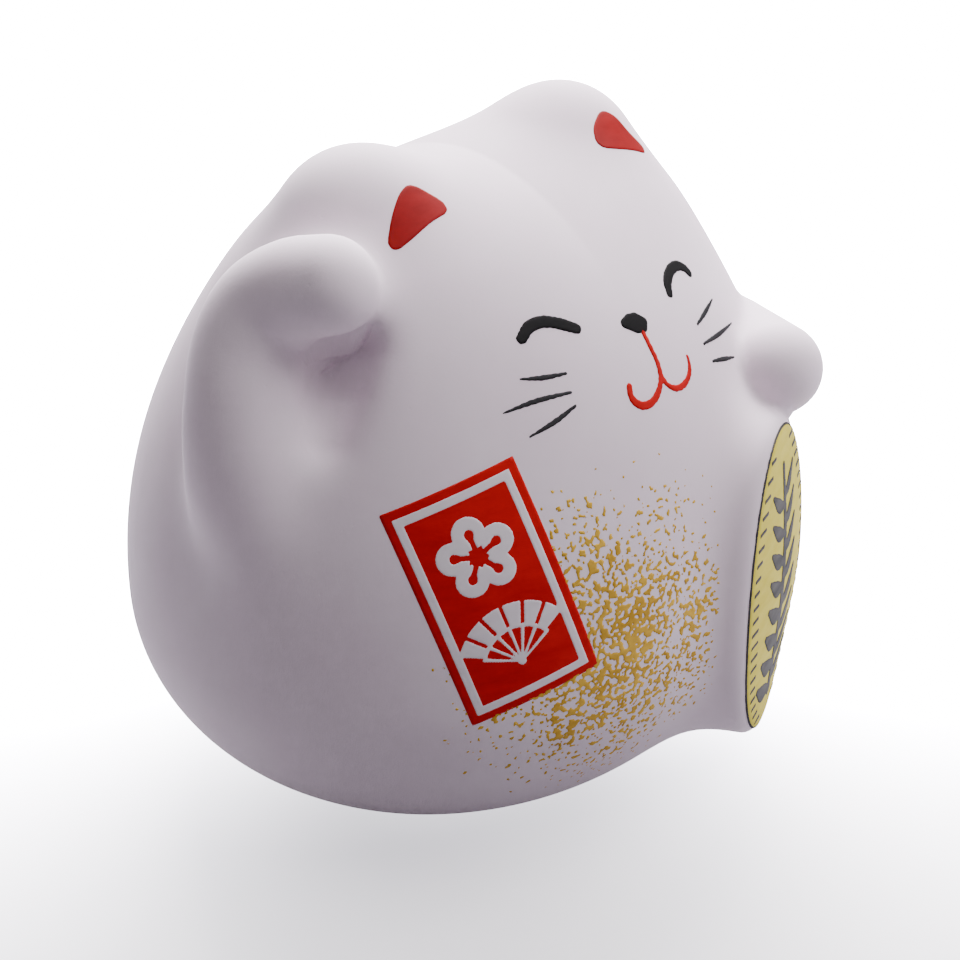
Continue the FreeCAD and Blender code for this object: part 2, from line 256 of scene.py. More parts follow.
# %% Forelegs
BECKONING_LEG = [(-36.4, -6.1, 40.0, 7.3), (-39.2, -4.7, 47.9, 7.1), (-39.9, -4.3, 53.9, 6.7),
                 (-39.3, -3.7, 59.6, 6.2), (-37.2, -2.8, 65.3, 5.9), (-35.0, -3.9, 69.3, 5.8),
                 (-33.3, -7.3, 72.0, 5.6), (-31.6, -10.9, 73.0, 5.4)]
LEG_RINGS = through(BECKONING_LEG, per_span=5)
LEG_EDGE = (LEG_RINGS[:, 0] + LEG_RINGS[:, 3]).max()
KOBAN_LEG = [(32.5, -18.8, 48.0, 5.6), (22.4, -32.6, 51.3, 5.8)]


def beckoning_arm(points):
    """Raised foreleg, as a chain of short bars; far from it, only a distance to its edge."""
    far = points[..., 0] - LEG_EDGE
    near = far < 10
    chain = np.full(near.sum(), 1e3)
    for start, end in zip(LEG_RINGS, LEG_RINGS[1:]):
        chain = np.minimum(chain, limb(points[near], start, end))
    far[near] = chain
    return far


def koban_arm(points):
    """Foreleg that rests on the coin."""
    return limb(points, *KOBAN_LEG)


# %% Coin block
KOBAN_TURN = 22.5
KOBAN_MIDDLE = np.array([15.4, -39.5, 26.4])
KOBAN_HALF = np.array([12.2, 21.4])
PLINTH_MARGIN = 0.8
PLINTH_DEPTH = 14.0
PLINTH_ROUND = 1.8
CROWN, CROWN_LIMIT = 0.7, 0.9
KOBAN_ACROSS, KOBAN_OUT, KOBAN_UP = turned_axes(KOBAN_TURN)


def oval(u, v, half_width, half_height):
    """Distance from an oval outline in its own plane, below zero inside."""
    reach = np.hypot(u / half_width, v / half_height)
    steep = np.hypot(u / half_width ** 2, v / half_height ** 2)
    return (reach - 1) * reach / np.maximum(steep, 1e-9)


def koban_plane(points):
    """Across, outward and upward position of points from the middle of the coin's face."""
    local = points - KOBAN_MIDDLE
    return local @ KOBAN_ACROSS, local @ KOBAN_OUT, local @ KOBAN_UP


def koban_plinth(points):
    """Oval block with a rounded edge and a slightly crowned face."""
    u, w, v = koban_plane(points)
    side = oval(u, v, *(KOBAN_HALF + PLINTH_MARGIN - PLINTH_ROUND))
    crown = CROWN * (np.hypot(u / KOBAN_HALF[0], v / KOBAN_HALF[1]) ** 2)
    front = w + np.minimum(crown, CROWN_LIMIT) + PLINTH_ROUND
    face = np.maximum(front, -(w + PLINTH_DEPTH) + PLINTH_ROUND)
    outside = np.hypot(np.maximum(side, 0), np.maximum(face, 0))
    return outside + np.minimum(np.maximum(side, face), 0) - PLINTH_ROUND


# widths of the fillets, in millimetres, in the order in which the clay is put together
TAIL_BLEND, HOLLOW_BLEND, PLINTH_BLEND = 4.0, 4.0, 5.0
KOBAN_ARM_BLEND, BECKONING_ARM_BLEND, FOOT_ROUND = 1.6, 4.2, 2.0
PAW_HOLLOW = [(-30.6, -11.6, 65.4, 3.6), (-33.2, -11.2, 61.8, 4.3), (-36.0, -12.9, 57.6, 2.9)]


def paw_hollow(points, grow=0.0):
    """Scoop between the raised paw and the cheek, running out down the leg."""
    return np.minimum(limb(points, *PAW_HOLLOW[:2]), limb(points, *PAW_HOLLOW[1:])) - grow


def outer_form(points):
    """Everything that is clay, standing level on its foot."""
    form = soft_cut(body(points), paw_hollow(points), HOLLOW_BLEND)
    form = soft_join(form, koban_plinth(points), PLINTH_BLEND)
    form = soft_join(form, koban_arm(points), KOBAN_ARM_BLEND)
    form = soft_join(form, beckoning_arm(points), BECKONING_ARM_BLEND)
    return soft_cut(form, points[..., 2], FOOT_ROUND)

# %% [markdown]
# ## Hollow ware
#
# Slip casting leaves a wall of even thickness, and a bank needs ways in and out: a slot for
# coins in the upper back, a round opening in the base for the stopper, and a recess round
# it so that the stopper's flange clears the table. Cutting these with booleans after meshing
# leaves razor edges that clay never has, so they are cut from the distance field too, with
# a small rounding that stands for the potter's sponge.

# %% Cavity, base and coin slot
WALL = 4.0
RECESS_RADIUS, RECESS_DEPTH = 21.0, 3.2
BASE_THICKNESS = 3.8
HOLE_RADIUS = 15.0
SLOT_HALF = np.array([14.5, 9.0, 1.6])
SLOT_MIDDLE = np.array([0.0, 30.3, 60.0])
SLOT_SLOPE = np.radians(34.6)
LIP = 0.8


def pillar(points, radius, low, high):
    """Distance from an upright round plug."""
    side = np.hypot(points[..., 0], points[..., 1]) - radius
    return np.maximum(side, np.abs(points[..., 2] - (low + high) / 2) - (high - low) / 2)


def coin_slot(points):
    """Distance from the coin slot, a flat box that slopes with the cat's back."""
    local = points - SLOT_MIDDLE
    inward = local[..., 1] * np.cos(SLOT_SLOPE) + local[..., 2] * np.sin(SLOT_SLOPE)
    upward = local[..., 2] * np.cos(SLOT_SLOPE) - local[..., 1] * np.sin(SLOT_SLOPE)
    beyond = np.abs(np.stack([local[..., 0], inward, upward], axis=-1)) - SLOT_HALF
    outside = np.linalg.norm(np.maximum(beyond, 0), axis=-1)
    return outside + np.minimum(beyond.max(axis=-1), 0)


def fired_clay(points):
    """The whole hollow casting."""
    cavity = np.maximum(egg(points, -WALL), RECESS_DEPTH + BASE_THICKNESS - points[..., 2])
    cavity = soft_cut(cavity, paw_hollow(points, WALL), LIP)
    form = soft_cut(outer_form(points), cavity, LIP)
    form = soft_cut(form, pillar(points, RECESS_RADIUS, -4, RECESS_DEPTH), LIP)
    form = soft_cut(form, pillar(points, HOLE_RADIUS, -4, 2 * RECESS_DEPTH + BASE_THICKNESS), LIP)
    return soft_cut(form, coin_slot(points), LIP)


# %% [markdown]
# ## From field to mesh
#
# The field is sampled on a grid of small cubes and a surface of four-sided faces is drawn
# through its zero level. That surface is a little stepped, so each corner is then slid down
# the field's slope until it lies on the true surface. The same slope gives exact normals,
# which makes even a coarse mesh shade like smooth clay.

# %% Mesh the clay
import openvdb

CELL = 0.9
GRID_LOW = np.array([-52.0, -50.0, -3.0])
GRID_HIGH = np.array([52.0, 50.0, 87.0])


def settle(field, points, rounds=4):
    """Slide points down the slope of a field onto its zero level."""
    for _ in range(rounds):
        slope = slope_of(field, points)
        points = points - slope * (field(points) / (slope ** 2).sum(axis=-1))[:, None]
    return points


def surface_of(field):
    """Points and four-sided faces of a field's zero level."""
    spans = [np.arange(low, high, CELL) for low, high in zip(GRID_LOW, GRID_HIGH)]
    values = np.empty([len(span) for span in spans], np.float32)
    for row, x in enumerate(spans[0]):
        sheet = np.stack(np.meshgrid([x], spans[1], spans[2], indexing="ij"), axis=-1)
        values[row] = field(sheet)[0]
    grid = openvdb.FloatGrid()
    grid.background = float(values.max())
    grid.copyFromArray(values)
    points, triangles, quads = grid.convertToPolygons(isovalue=0.0, adaptivity=0.0)
    print(f"field sampled on {values.size} corners, {len(quads)} faces")
    return settle(field, points * CELL + GRID_LOW), quads


clay_points, clay_faces = surface_of(fired_clay)
clay_normals = slope_of(fired_clay, clay_points)
clay_normals /= np.linalg.norm(clay_normals, axis=1)[:, None]

# %% [markdown]
# ## Four castings, one skin
#
# The potter luted two forelegs and the coin block onto the body, so they stay four pieces
# here. Meshing each alone would show a crack or a ridge where they meet. Instead the one
# smooth skin is shared out: each face goes to the casting whose own form is nearest, and
# the corners on a border are slid onto the line where two forms are equally near. Pieces
# then share their border corners and their normals exactly, as smoothed slip does, and each
# is closed with a wall inside the joint, where nobody sees it.

# %% Share the skin out
INNER_SKIN = 0.4
NEVER_NEAR = 100
CASTINGS = {"body_shell": body, "koban_plinth": koban_plinth, "koban_arm": koban_arm,
            "beckoning_arm": beckoning_arm}


def nearness(points):
    """How near each casting's own form is. The inside of the shell belongs to the body."""
    fields = np.stack([form(points) for form in CASTINGS.values()], axis=-1)
    inside = egg(points) < -INNER_SKIN
    fields[inside, 1:] += NEVER_NEAR
    return fields


def seam_corners(owner, number):
    """Corners that lie both on a casting and on another one."""
    mine = np.zeros(len(clay_points), bool)
    other = mine.copy()
    mine[clay_faces[owner == number].ravel()] = True
    other[clay_faces[owner != number].ravel()] = True
    return np.nonzero(mine & other)[0]


def settle_on_seam(points, number, rounds=6):
    """Slide points to where the skin is as near to one casting as to the next."""
    def difference(where):
        fields = nearness(where)
        return fields[..., number] - np.delete(fields, number, axis=-1).min(axis=-1)

    start = points.copy()
    for _ in range(rounds):
        rows = np.stack([slope_of(fired_clay, points), slope_of(difference, points)], axis=1)
        misses = np.stack([fired_clay(points), difference(points)], axis=-1)
        square = rows @ rows.transpose(0, 2, 1) + 1e-6 * np.eye(2)
        pull = np.linalg.solve(square, misses[..., None])
        step = (rows.transpose(0, 2, 1) @ pull)[..., 0]
        points = points - np.clip(step, -0.3 * CELL, 0.3 * CELL)
    moved = np.linalg.norm(points - start, axis=1)
    return np.where((moved < CELL)[:, None], points, start)


owner = nearness(clay_points[clay_faces].mean(axis=1)).argmin(axis=-1)
for number in range(1, len(CASTINGS)):
    seam = seam_corners(owner, number)
    clay_points[seam] = settle_on_seam(clay_points[seam], number)
clay_normals = slope_of(fired_clay, clay_points)
clay_normals /= np.linalg.norm(clay_normals, axis=1)[:, None]


# %% Close each casting
JOINT_DEPTH = 1.5
JOINT_RINGS = 5


def border_loops(faces):
    """Closed runs of corners round the open borders of a set of faces."""
    edges = {}
    for a, b in zip(faces.ravel(), np.roll(faces, -1, axis=1).ravel()):
        edges[(a, b)] = True
    following = {a: b for a, b in edges if (b, a) not in edges}
    loops = []
    while following:
        first, here = following.popitem()
        loop = [first]
        while here != first:
            loop.append(here)
            here = following.pop(here)
        loops.append(loop)
    return loops


def joint_wall(loop):
    """Rings of points from a border to its middle, lying just inside the egg's surface."""
    rim = clay_points[loop]
    middle = rim.mean(axis=0)
    rings = []
    for share in np.linspace(0, 1, JOINT_RINGS + 1)[1:-1]:
        flat = rim + (middle - rim) * share
        rings.append(settle(lambda points: egg(points, -JOINT_DEPTH), flat))
    last = settle(lambda points: egg(points, -JOINT_DEPTH), middle[None])
    return rings, last


def casting(name, number):
    """One closed clay piece made from its share of the skin."""
    faces = clay_faces[owner == number]
    used, corners = np.unique(faces, return_inverse=True)
    place = {old: new for new, old in enumerate(used)}
    points = [clay_points[used]]
    polygons = corners.reshape(faces.shape).tolist()
    skin_count, total = len(polygons), len(used)
    for loop in border_loops(faces):
        rings, last = joint_wall(loop)
        before = [place[corner] for corner in loop]
        for ring in rings:
            row = list(range(total, total + len(ring)))
            points.append(ring)
            total += len(ring)
            polygons += [[before[i - 1], row[i - 1], row[i], before[i]][::-1]
                         for i in range(len(row))][::-1]
            before = row
        points.append(last)
        polygons += [[before[i], before[i - 1], total] for i in range(len(before))]
        total += 1
    piece = new_piece(name, np.concatenate(points), polygons)
    mesh = piece.data
    normals = np.zeros((len(mesh.loops), 3))
    corner_of = np.empty(len(mesh.loops), int)
    mesh.loops.foreach_get("vertex_index", corner_of)
    skin_loops = skin_count * 4
    normals[:skin_loops] = clay_normals[used][corner_of[:skin_loops]]
    joint_count = len(polygons) - skin_count
    mesh.polygons.foreach_set("use_smooth", [True] * skin_count + [False] * joint_count)
    for polygon in mesh.polygons[skin_count:]:
        for loop in polygon.loop_indices:
            normals[loop] = polygon.normal
    mesh.normals_split_custom_set(normals.tolist())
    print(f"{name}: {skin_count} skin faces, {joint_count} in joints")
    return piece


def dress(piece, body_name, slot, *nodes):
    """Hang a piece on its body, give it a finish's slot name and hide the CAD nodes it stands for.
    """
    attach(piece, body_name)
    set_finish(piece, slot)
    if nodes:
        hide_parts(*nodes)
    return piece


for number, node in enumerate(CASTINGS):
    dress(casting(f"clay_{node}", number), "figure", "bisque", node)

# %% [markdown]
# ## Paint that lies on the clay
#
# Brush strokes and transfers are thin, but they have edges that catch the light, so they are
# real layers and not only colour. A mask in the clay's material would be simpler, yet its
# edge is only as sharp as the bake. Each mark is drawn on a flat *drawing board* held in
# front of the cat, as a 2D distance field for its outline. The board's grid keeps the cells
# inside the outline, slides the border corners onto it, and shines the result straight at
# the cat. A top, a bottom and a rim then make a closed layer that follows every curve.

# %% Drawing boards
BOARD_BEHIND = 15.0
SHINE_ROUNDS = 40
CAREFUL_STRIDE = 0.85


class Board:
    """A flat drawing board: a middle, and the directions across it, out of it and up it."""

    def __init__(self, middle, turn, lean=0.0, spin=0.0, onto=outer_form):
        self.middle = np.array(middle)
        self.onto = onto
        self.across, self.outward, self.upward = turned_axes(turn, lean, spin)

    def flat(self, points):
        """Where points in space lie on the board, and how far out of it."""
        local = points - self.middle
        return local @ self.across, local @ self.upward, local @ self.outward

    def shine(self, u, v):
        """Points on the clay straight behind places on the board."""
        start = self.middle + u[:, None] * self.across + v[:, None] * self.upward
        ahead = np.full(len(u), -BOARD_BEHIND)
        for _ in range(SHINE_ROUNDS):
            points = start - ahead[:, None] * self.outward
            ahead += CAREFUL_STRIDE * self.onto(points)
        return settle(outer_form, start - ahead[:, None] * self.outward, 3)


def inner_corners(kept):
    """Mark grid corners that belong to a kept cell, and those that also touch an empty one."""
    padded = np.pad(kept, 1)
    around = np.stack([padded[1:, 1:], padded[:-1, 1:], padded[1:, :-1], padded[:-1, :-1]])
    return around.any(axis=0), around.any(axis=0) & ~around.all(axis=0)


def close_pinches(kept):
    """Fill cells where two kept cells would meet only at a corner."""
    for _ in range(4):
        falling = kept[:-1, :-1] & kept[1:, 1:] & ~kept[1:, :-1] & ~kept[:-1, 1:]
        rising = ~kept[:-1, :-1] & ~kept[1:, 1:] & kept[1:, :-1] & kept[:-1, 1:]
        kept[1:, :-1] |= falling
        kept[1:, 1:] |= rising
    return kept


# %% Lay a layer of paint
SUNK = 0.05
EDGE_SHARE = 0.35


def paint(name, board, outline, extent, step, thickness, edge=0.25, allowed=None):
    """Make a closed layer of paint with a given outline on a board."""
    low_u, high_u, low_v, high_v = extent
    u, v = np.meshgrid(np.arange(low_u, high_u + step, step),
                       np.arange(low_v, high_v + step, step), indexing="ij")
    inside = outline(u, v)
    middle = (inside[1:, 1:] + inside[:-1, 1:] + inside[1:, :-1] + inside[:-1, :-1]) / 4
    kept = middle < 0
    if allowed is not None:
        cells = np.nonzero(kept)
        kept[cells] = allowed(board.shine(u[cells], v[cells]))
    kept = close_pinches(kept)
    used, border = inner_corners(kept)

    reach = 0.01
    slope_u = (outline(u + reach, v) - outline(u - reach, v)) / (2 * reach)
    slope_v = (outline(u, v + reach) - outline(u, v - reach)) / (2 * reach)
    steep = np.maximum(slope_u ** 2 + slope_v ** 2, 0.05)
    moving = border & (np.abs(inside) < 1.5 * step)
    u = u - np.where(moving, np.clip(inside * slope_u / steep, -0.6 * step, 0.6 * step), 0)
    v = v - np.where(moving, np.clip(inside * slope_v / steep, -0.6 * step, 0.6 * step), 0)

    number = np.full(used.shape, -1)
    number[used] = np.arange(used.sum())
    skin = board.shine(u[used], v[used])
    normals = slope_of(outer_form, skin)
    normals /= np.linalg.norm(normals, axis=1)[:, None]
    swell = np.clip(-inside[used] / edge, 0, 1)
    swell = np.where(border[used], 0, swell)
    height = thickness * (EDGE_SHARE + (1 - EDGE_SHARE) * swell * (2 - swell))
    top = skin + normals * height[:, None]
    bottom = skin - normals * SUNK

    rows, columns = np.nonzero(kept)
    corners = np.stack([number[rows, columns], number[rows + 1, columns],
                        number[rows + 1, columns + 1], number[rows, columns + 1]], axis=1)
    count = len(top)
    edges = {}
    for a, b in zip(corners.ravel(), np.roll(corners, -1, axis=1).ravel()):
        edges[(a, b)] = True
    rim = [(b, a, a + count, b + count) for a, b in edges if (b, a) not in edges]
    polygons = corners.tolist() + (corners[:, ::-1] + count).tolist() + rim
    print(f"{name}: {len(corners)} cells of paint")
    return new_piece(name, np.concatenate([top, bottom]), polygons, smooth=True)


# %% [markdown]
# ## The brush
#
# A brush stroke is a line whose width changes: the hair presses down, swells and lifts. A few
# places and half widths are enough to say one, and a smooth curve is run through them. The
# outline is the nearest of the short tapered bars along that curve, with a slight waver,
# because no hand is perfectly steady.

# %% Brush strokes as outlines
def bar(u, v, start, end):
    """Distance from a flat bar whose ends (u, v, half width) may differ."""
    along_u, along_v = end[0] - start[0], end[1] - start[1]
    length = along_u ** 2 + along_v ** 2 + 1e-12
    share = np.clip(((u - start[0]) * along_u + (v - start[1]) * along_v) / length, 0, 1)
    width = start[2] + (end[2] - start[2]) * share
    return np.hypot(u - start[0] - share * along_u, v - start[1] - share * along_v) - width


def stroke(points, waver=0.04):
    """Outline of one brush stroke through (u, v, half width) points."""
    line = through(points)

    def outline(u, v):
        distance = np.full(np.shape(u), 1e3)
        for start, end in zip(line, line[1:]):
            distance = np.minimum(distance, bar(u, v, start, end))
        return distance + waver * np.sin(7.1 * u + 1.3) * np.sin(6.3 * v + 0.7)
    return outline


def polygon(points, rounding=0.0):
    """Outline of a closed shape with straight sides and rounded corners."""
    points = np.array(points, float)

    def outline(u, v):
        nearest = np.full(np.shape(u), 1e3)
        inside = np.zeros(np.shape(u), bool)
        for (u0, v0), (u1, v1) in zip(points, np.roll(points, -1, axis=0)):
            nearest = np.minimum(nearest, bar(u, v, (u0, v0, 0), (u1, v1, 0)))
            crosses = (v0 > v) != (v1 > v)
            rise = v1 - v0 if v1 != v0 else 1e-9
            inside ^= crosses & (u < (u1 - u0) * (v - v0) / rise + u0)
        return np.where(inside, -nearest, nearest) - rounding
    return outline


def softened(points, rounds=2):
    """Trim the corners of a closed shape so that its sides bend."""
    points = np.array(points, float)
    for _ in range(rounds):
        following = np.roll(points, -1, axis=0)
        trimmed = [0.8 * points + 0.2 * following, 0.2 * points + 0.8 * following]
        points = np.stack(trimmed, axis=1).reshape(-1, 2)
    return points


def both(*outlines):
    """Several outlines as one."""
    return lambda u, v: np.minimum.reduce([outline(u, v) for outline in outlines])


def extent_of(outline, low, high, step=0.4, margin=0.5):
    """Part of a board that an outline covers."""
    u, v = np.meshgrid(np.arange(low, high, step), np.arange(low, high, step), indexing="ij")
    covered = outline(u, v) < step
    return (u[covered].min() - margin, u[covered].max() + margin,
            v[covered].min() - margin, v[covered].max() + margin)


# %% [markdown]
# ## The painted face
#
# The face board leans back with the brow. Both closed eyes are single arched strokes, the
# nose is a dab, and the mouth is drawn in one red line down from the nose with a hook to
# each side. The whiskers are three quick hairs a side that thin out as the brush lifts.
# The strokes are a little uneven from side to side, because they are painted by hand.

# %% Eyes, nose, mouth and whiskers
FACE = Board((0.0, -28.0, 62.0), 0.0, 36.0, onto=body)
PAINT_STEP = 0.12
PAINT_THICKNESS = 0.08
EYE_RIGHT = [(-14.9, 4.75, 0.62), (-13.4, 5.6, 0.74), (-11.5, 5.5, 0.74), (-9.7, 4.5, 0.72),
             (-8.1, 3.25, 0.66)]
EYE_LEFT = [(8.2, 2.5, 0.55), (9.0, 3.9, 0.7), (10.7, 5.0, 0.72), (12.6, 5.25, 0.7),
            (13.9, 4.6, 0.66), (14.3, 3.9, 0.6)]
NOSE = [(-1.35, 1.45), (-0.4, 1.75), (0.6, 1.6), (1.45, 0.75), (1.0, 0.15), (0.0, 0.35)]
MOUTH_STEM = [(0.6, 0.4, 0.3), (0.6, -2.2, 0.32), (0.6, -4.3, 0.34), (0.1, -6.4, 0.38)]
MOUTH_RIGHT = [(0.3, -5.6, 0.3), (-0.3, -6.6, 0.38), (-1.3, -7.5, 0.42), (-2.7, -8.1, 0.47),
               (-4.0, -8.0, 0.5), (-4.9, -7.3, 0.47), (-5.2, -6.3, 0.42), (-4.9, -5.3, 0.38)]
MOUTH_LEFT = [(0.3, -5.6, 0.3), (0.7, -7.0, 0.32), (1.9, -7.9, 0.38), (3.5, -7.9, 0.4),
              (4.9, -7.2, 0.34), (5.7, -6.2, 0.29), (6.0, -5.1, 0.2)]
WHISKERS = {
    "right": [[(-12.0, -0.85, 0.17), (-14.7, -0.2, 0.3), (-17.2, 0.75, 0.1)],
              [(-12.4, -3.0, 0.17), (-16.6, -2.2, 0.3), (-20.4, -1.85, 0.1)],
              [(-12.6, -4.6, 0.17), (-15.6, -5.2, 0.3), (-18.9, -5.5, 0.1)]],
    "left": [[(10.7, -2.2, 0.17), (13.8, -1.2, 0.3), (16.7, -0.2, 0.1)],
             [(10.2, -4.65, 0.17), (14.4, -4.4, 0.3), (19.2, -3.85, 0.1)],
             [(10.6, -7.0, 0.17), (13.2, -7.35, 0.3), (16.1, -7.75, 0.1)]],
}


def paint_on_face(name, outline, slot, node, edge=0.3):
    """A face mark that stands for its CAD node."""
    extent = extent_of(outline, -30, 35)
    piece = paint(name, FACE, outline, extent, PAINT_STEP, PAINT_THICKNESS, edge)
    return dress(piece, "figure", slot, node)


paint_on_face("painted_eye_right", stroke(EYE_RIGHT), "black_enamel", "eye_right")
paint_on_face("painted_eye_left", stroke(EYE_LEFT), "black_enamel", "eye_left")
paint_on_face("painted_nose", polygon(NOSE, 0.62), "black_enamel", "nose")
paint_on_face("painted_mouth", both(stroke(MOUTH_STEM), stroke(MOUTH_RIGHT), stroke(MOUTH_LEFT)),
              "mouth_red", "mouth")
for side, hairs in WHISKERS.items():
    paint_on_face(f"painted_whiskers_{side}", both(*(stroke(hair, 0.03) for hair in hairs)),
                  "whisker_grey", f"whiskers_{side}", edge=0.2)

# %% [markdown]
# ## Ear linings
#
# Each ear has a red patch on its front, a triangle with soft corners whose outer side bulges.
# It is filled in by brush, so it's the same kind of layer as the eyes, from the same board.

# %% Ear linings
LININGS = {
    "right": [(-16.2, 25.6), (-13.6, 22.0), (-16.8, 21.6), (-20.0, 20.6), (-22.2, 20.0),
              (-20.0, 23.0), (-18.0, 24.9)],
    "left": [(17.8, 26.5), (19.3, 25.4), (20.2, 23.0), (22.0, 20.5), (19.0, 21.4), (16.3, 22.1),
             (14.0, 22.9), (15.2, 24.9)],
}
for side, corners in LININGS.items():
    paint_on_face(f"painted_ear_lining_{side}", polygon(softened(corners), 0.6), "ear_red",
                  f"ear_lining_{side}")

# %% [markdown]
# ## The label transfer
#
# The red label is a printed transfer, cut square and pressed on at a slant. Its colour, the
# white frame line and the white picture are separate inks. The real print carries a word of
# good luck. Here that is replaced by two lucky pictures of this script's own: a plum blossom
# above and an open fan below, in lines as heavy as brushed characters would be.

# %% Label
label_size = np.array([16.2, 27.4])
LABEL = Board((-25.9, -29.3, 39.0), -33.3, 13.0, 18.5)
LABEL_THICKNESS = 0.05
INK_THICKNESS = 0.08
FRAME_INSET = 0.95
FRAME_LINE = 1.1


def rectangle(width, height, rounding=0.0):
    """Outline of an upright rectangle round the middle of a board."""
    def outline(u, v):
        beyond_u = np.abs(u) - width / 2 + rounding
        beyond_v = np.abs(v) - height / 2 + rounding
        outside = np.hypot(np.maximum(beyond_u, 0), np.maximum(beyond_v, 0))
        return outside + np.minimum(np.maximum(beyond_u, beyond_v), 0) - rounding
    return outline


def without(outline, taken):
    """An outline with another one cut out of it."""
    return lambda u, v: np.maximum(outline(u, v), -taken(u, v))


def disc(middle_u, middle_v, radius):
    return lambda u, v: np.hypot(u - middle_u, v - middle_v) - radius


def blossom(middle_u, middle_v, reach):
    """Five round petals with notched gaps, a ring heart and a stamen in each petal."""
    petals, stamens = [], []
    for number in range(5):
        angle = np.pi / 2 + number * 2 * np.pi / 5
        out_u, out_v = np.cos(angle), np.sin(angle)
        petals.append(disc(middle_u + 0.58 * reach * out_u, middle_v + 0.58 * reach * out_v,
                           0.4 * reach))
        line = [(middle_u + share * reach * out_u, middle_v + share * reach * out_v, 0.05 * reach)
                for share in (0.2, 0.4, 0.55)]
        line[-1] = (*line[-1][:2], 0.1 * reach)
        stamens.append(stroke(line, 0.0))
    return without(both(*petals), both(*stamens))


def fan(middle_u, foot_v, radius):
    """Open folding fan: a broad curved leaf, ribs that narrow to a pin, and gaps between."""
    spread = np.radians(62)
    ribs = []
    for angle in np.linspace(-spread, spread, 7):
        out_u, out_v = np.sin(angle), np.cos(angle)
        ribs.append(stroke([(middle_u + share * radius * out_u, foot_v + share * radius * out_v,
                             0.16 + 0.2 * share) for share in (0.04, 0.3, 0.6)], 0.0))

    def leaf(u, v):
        across, up = u - middle_u, v - foot_v
        reach = np.hypot(across, up)
        angle = np.arctan2(across, up)
        band = np.abs(reach - 0.78 * radius) - 0.22 * radius
        side = (np.abs(angle) - spread) * np.maximum(reach, 0.5)
        pleats = 0.16 - np.abs(((angle / spread * 3 + 0.5) % 1) - 0.5) / 3 * spread * reach
        return np.maximum(np.maximum(band, side), pleats)
    return both(leaf, *ribs, disc(middle_u, foot_v, 0.55))


label_outline = rectangle(*label_size, 0.15)
label = paint("label_ground", LABEL, label_outline,
              (-8.6, 8.6, -14.2, 14.2), 0.28, LABEL_THICKNESS, 0.15)
dress(label, "figure", "label_red", "luck_label")

frame_line = without(rectangle(*(label_size - 2 * FRAME_INSET), 0.1),
                     rectangle(*(label_size - 2 * FRAME_INSET - 2 * FRAME_LINE), 0.1))
pictures = both(blossom(0.0, 5.3, 4.9), fan(0.0, -8.4, 7.4))
label_print = paint("label_print", LABEL, both(frame_line, pictures),
                    (-7.6, 7.6, -13.2, 13.2), 0.14, INK_THICKNESS, 0.12)
dress(label_print, "figure", "bisque")

# %% [markdown]
# ## The coin
#
# The coin's face is a yellow print on the crowned front of its block, with a fine dark line
# round it. Round the rim run short tick marks, as on a hammered coin, and down the middle,
# where the real one has a column of writing, stands an ear of rice: a stem with pairs of
# leaves, a plain sign of plenty.

# %% Coin face and its print
KOBAN = Board(KOBAN_MIDDLE, KOBAN_TURN)
COIN_THICKNESS = 0.06
COIN_INK_THICKNESS = 0.13
COIN_STEP = 0.25
COIN_LINE = 0.28
TICK_LENGTH = 2.0
TICKS_EACH_SIDE = 21
TICK_HALF_HEIGHT = 0.28
TICK_INSET = 0.9
PAW_LIFT = 0.9


def on_coin(points):
    """Keep print off the paw where it rests on the coin."""
    return KOBAN.flat(points)[2] < PAW_LIFT


def ticks(u, v):
    """Short level marks that run in from the coin's rim on both sides."""
    pitch = 2 * 0.92 * KOBAN_HALF[1] / TICKS_EACH_SIDE
    row = np.round(v / pitch) * pitch
    rim = KOBAN_HALF[0] * np.sqrt(np.maximum(1 - (row / KOBAN_HALF[1]) ** 2, 0))
    wander = 0.25 * np.sin(row * 9.7)
    from_rim = rim - TICK_INSET - np.abs(u)
    across = np.maximum(-from_rim, from_rim - TICK_LENGTH - wander)
    within = np.abs(row) - 0.9 * KOBAN_HALF[1]
    return np.maximum.reduce([across, np.abs(v - row) - TICK_HALF_HEIGHT, within])


def rice_ear():
    """A stem with paired leaves that thin out upwards, drawn with a loaded brush."""
    stem = [(0.3, -16.5, 0.95), (-0.2, -6.0, 0.85), (0.2, 6.0, 0.75), (0.0, 16.5, 0.5)]
    strokes = [stroke(stem)]
    for row, foot in enumerate(np.linspace(-15.5, 11.5, 8)):
        size = 1 - 0.04 * row
        for side in (-1, 1):
            lift = foot + 0.6 * side
            strokes.append(stroke([(0.2 * side, lift, 0.6 * size),
                                   (3.0 * side * size, lift + 0.9, 1.35 * size),
                                   (6.2 * side * size, lift + 3.0, 0.5 * size)]))
    return both(*strokes)


coin_rim = lambda u, v: oval(u, v, *KOBAN_HALF)
coin_line = without(coin_rim, lambda u, v: oval(u, v, *(KOBAN_HALF - COIN_LINE)))
coin_extent = (-12.8, 12.8, -22.0, 22.0)
coin = paint("coin_face", KOBAN, coin_rim, coin_extent, COIN_STEP, COIN_THICKNESS, 0.3, on_coin)
dress(coin, "figure", "koban_yellow", "koban_transfer")
coin_print = paint("coin_print", KOBAN, both(ticks, rice_ear()), coin_extent, 0.15,
                   COIN_INK_THICKNESS, 0.12, on_coin)
dress(coin_print, "figure", "print_grey", "koban_print")
coin_border = paint("coin_border", KOBAN, coin_line, coin_extent, 0.13, COIN_INK_THICKNESS, 0.12,
                    on_coin)
dress(coin_border, "figure", "print_grey")

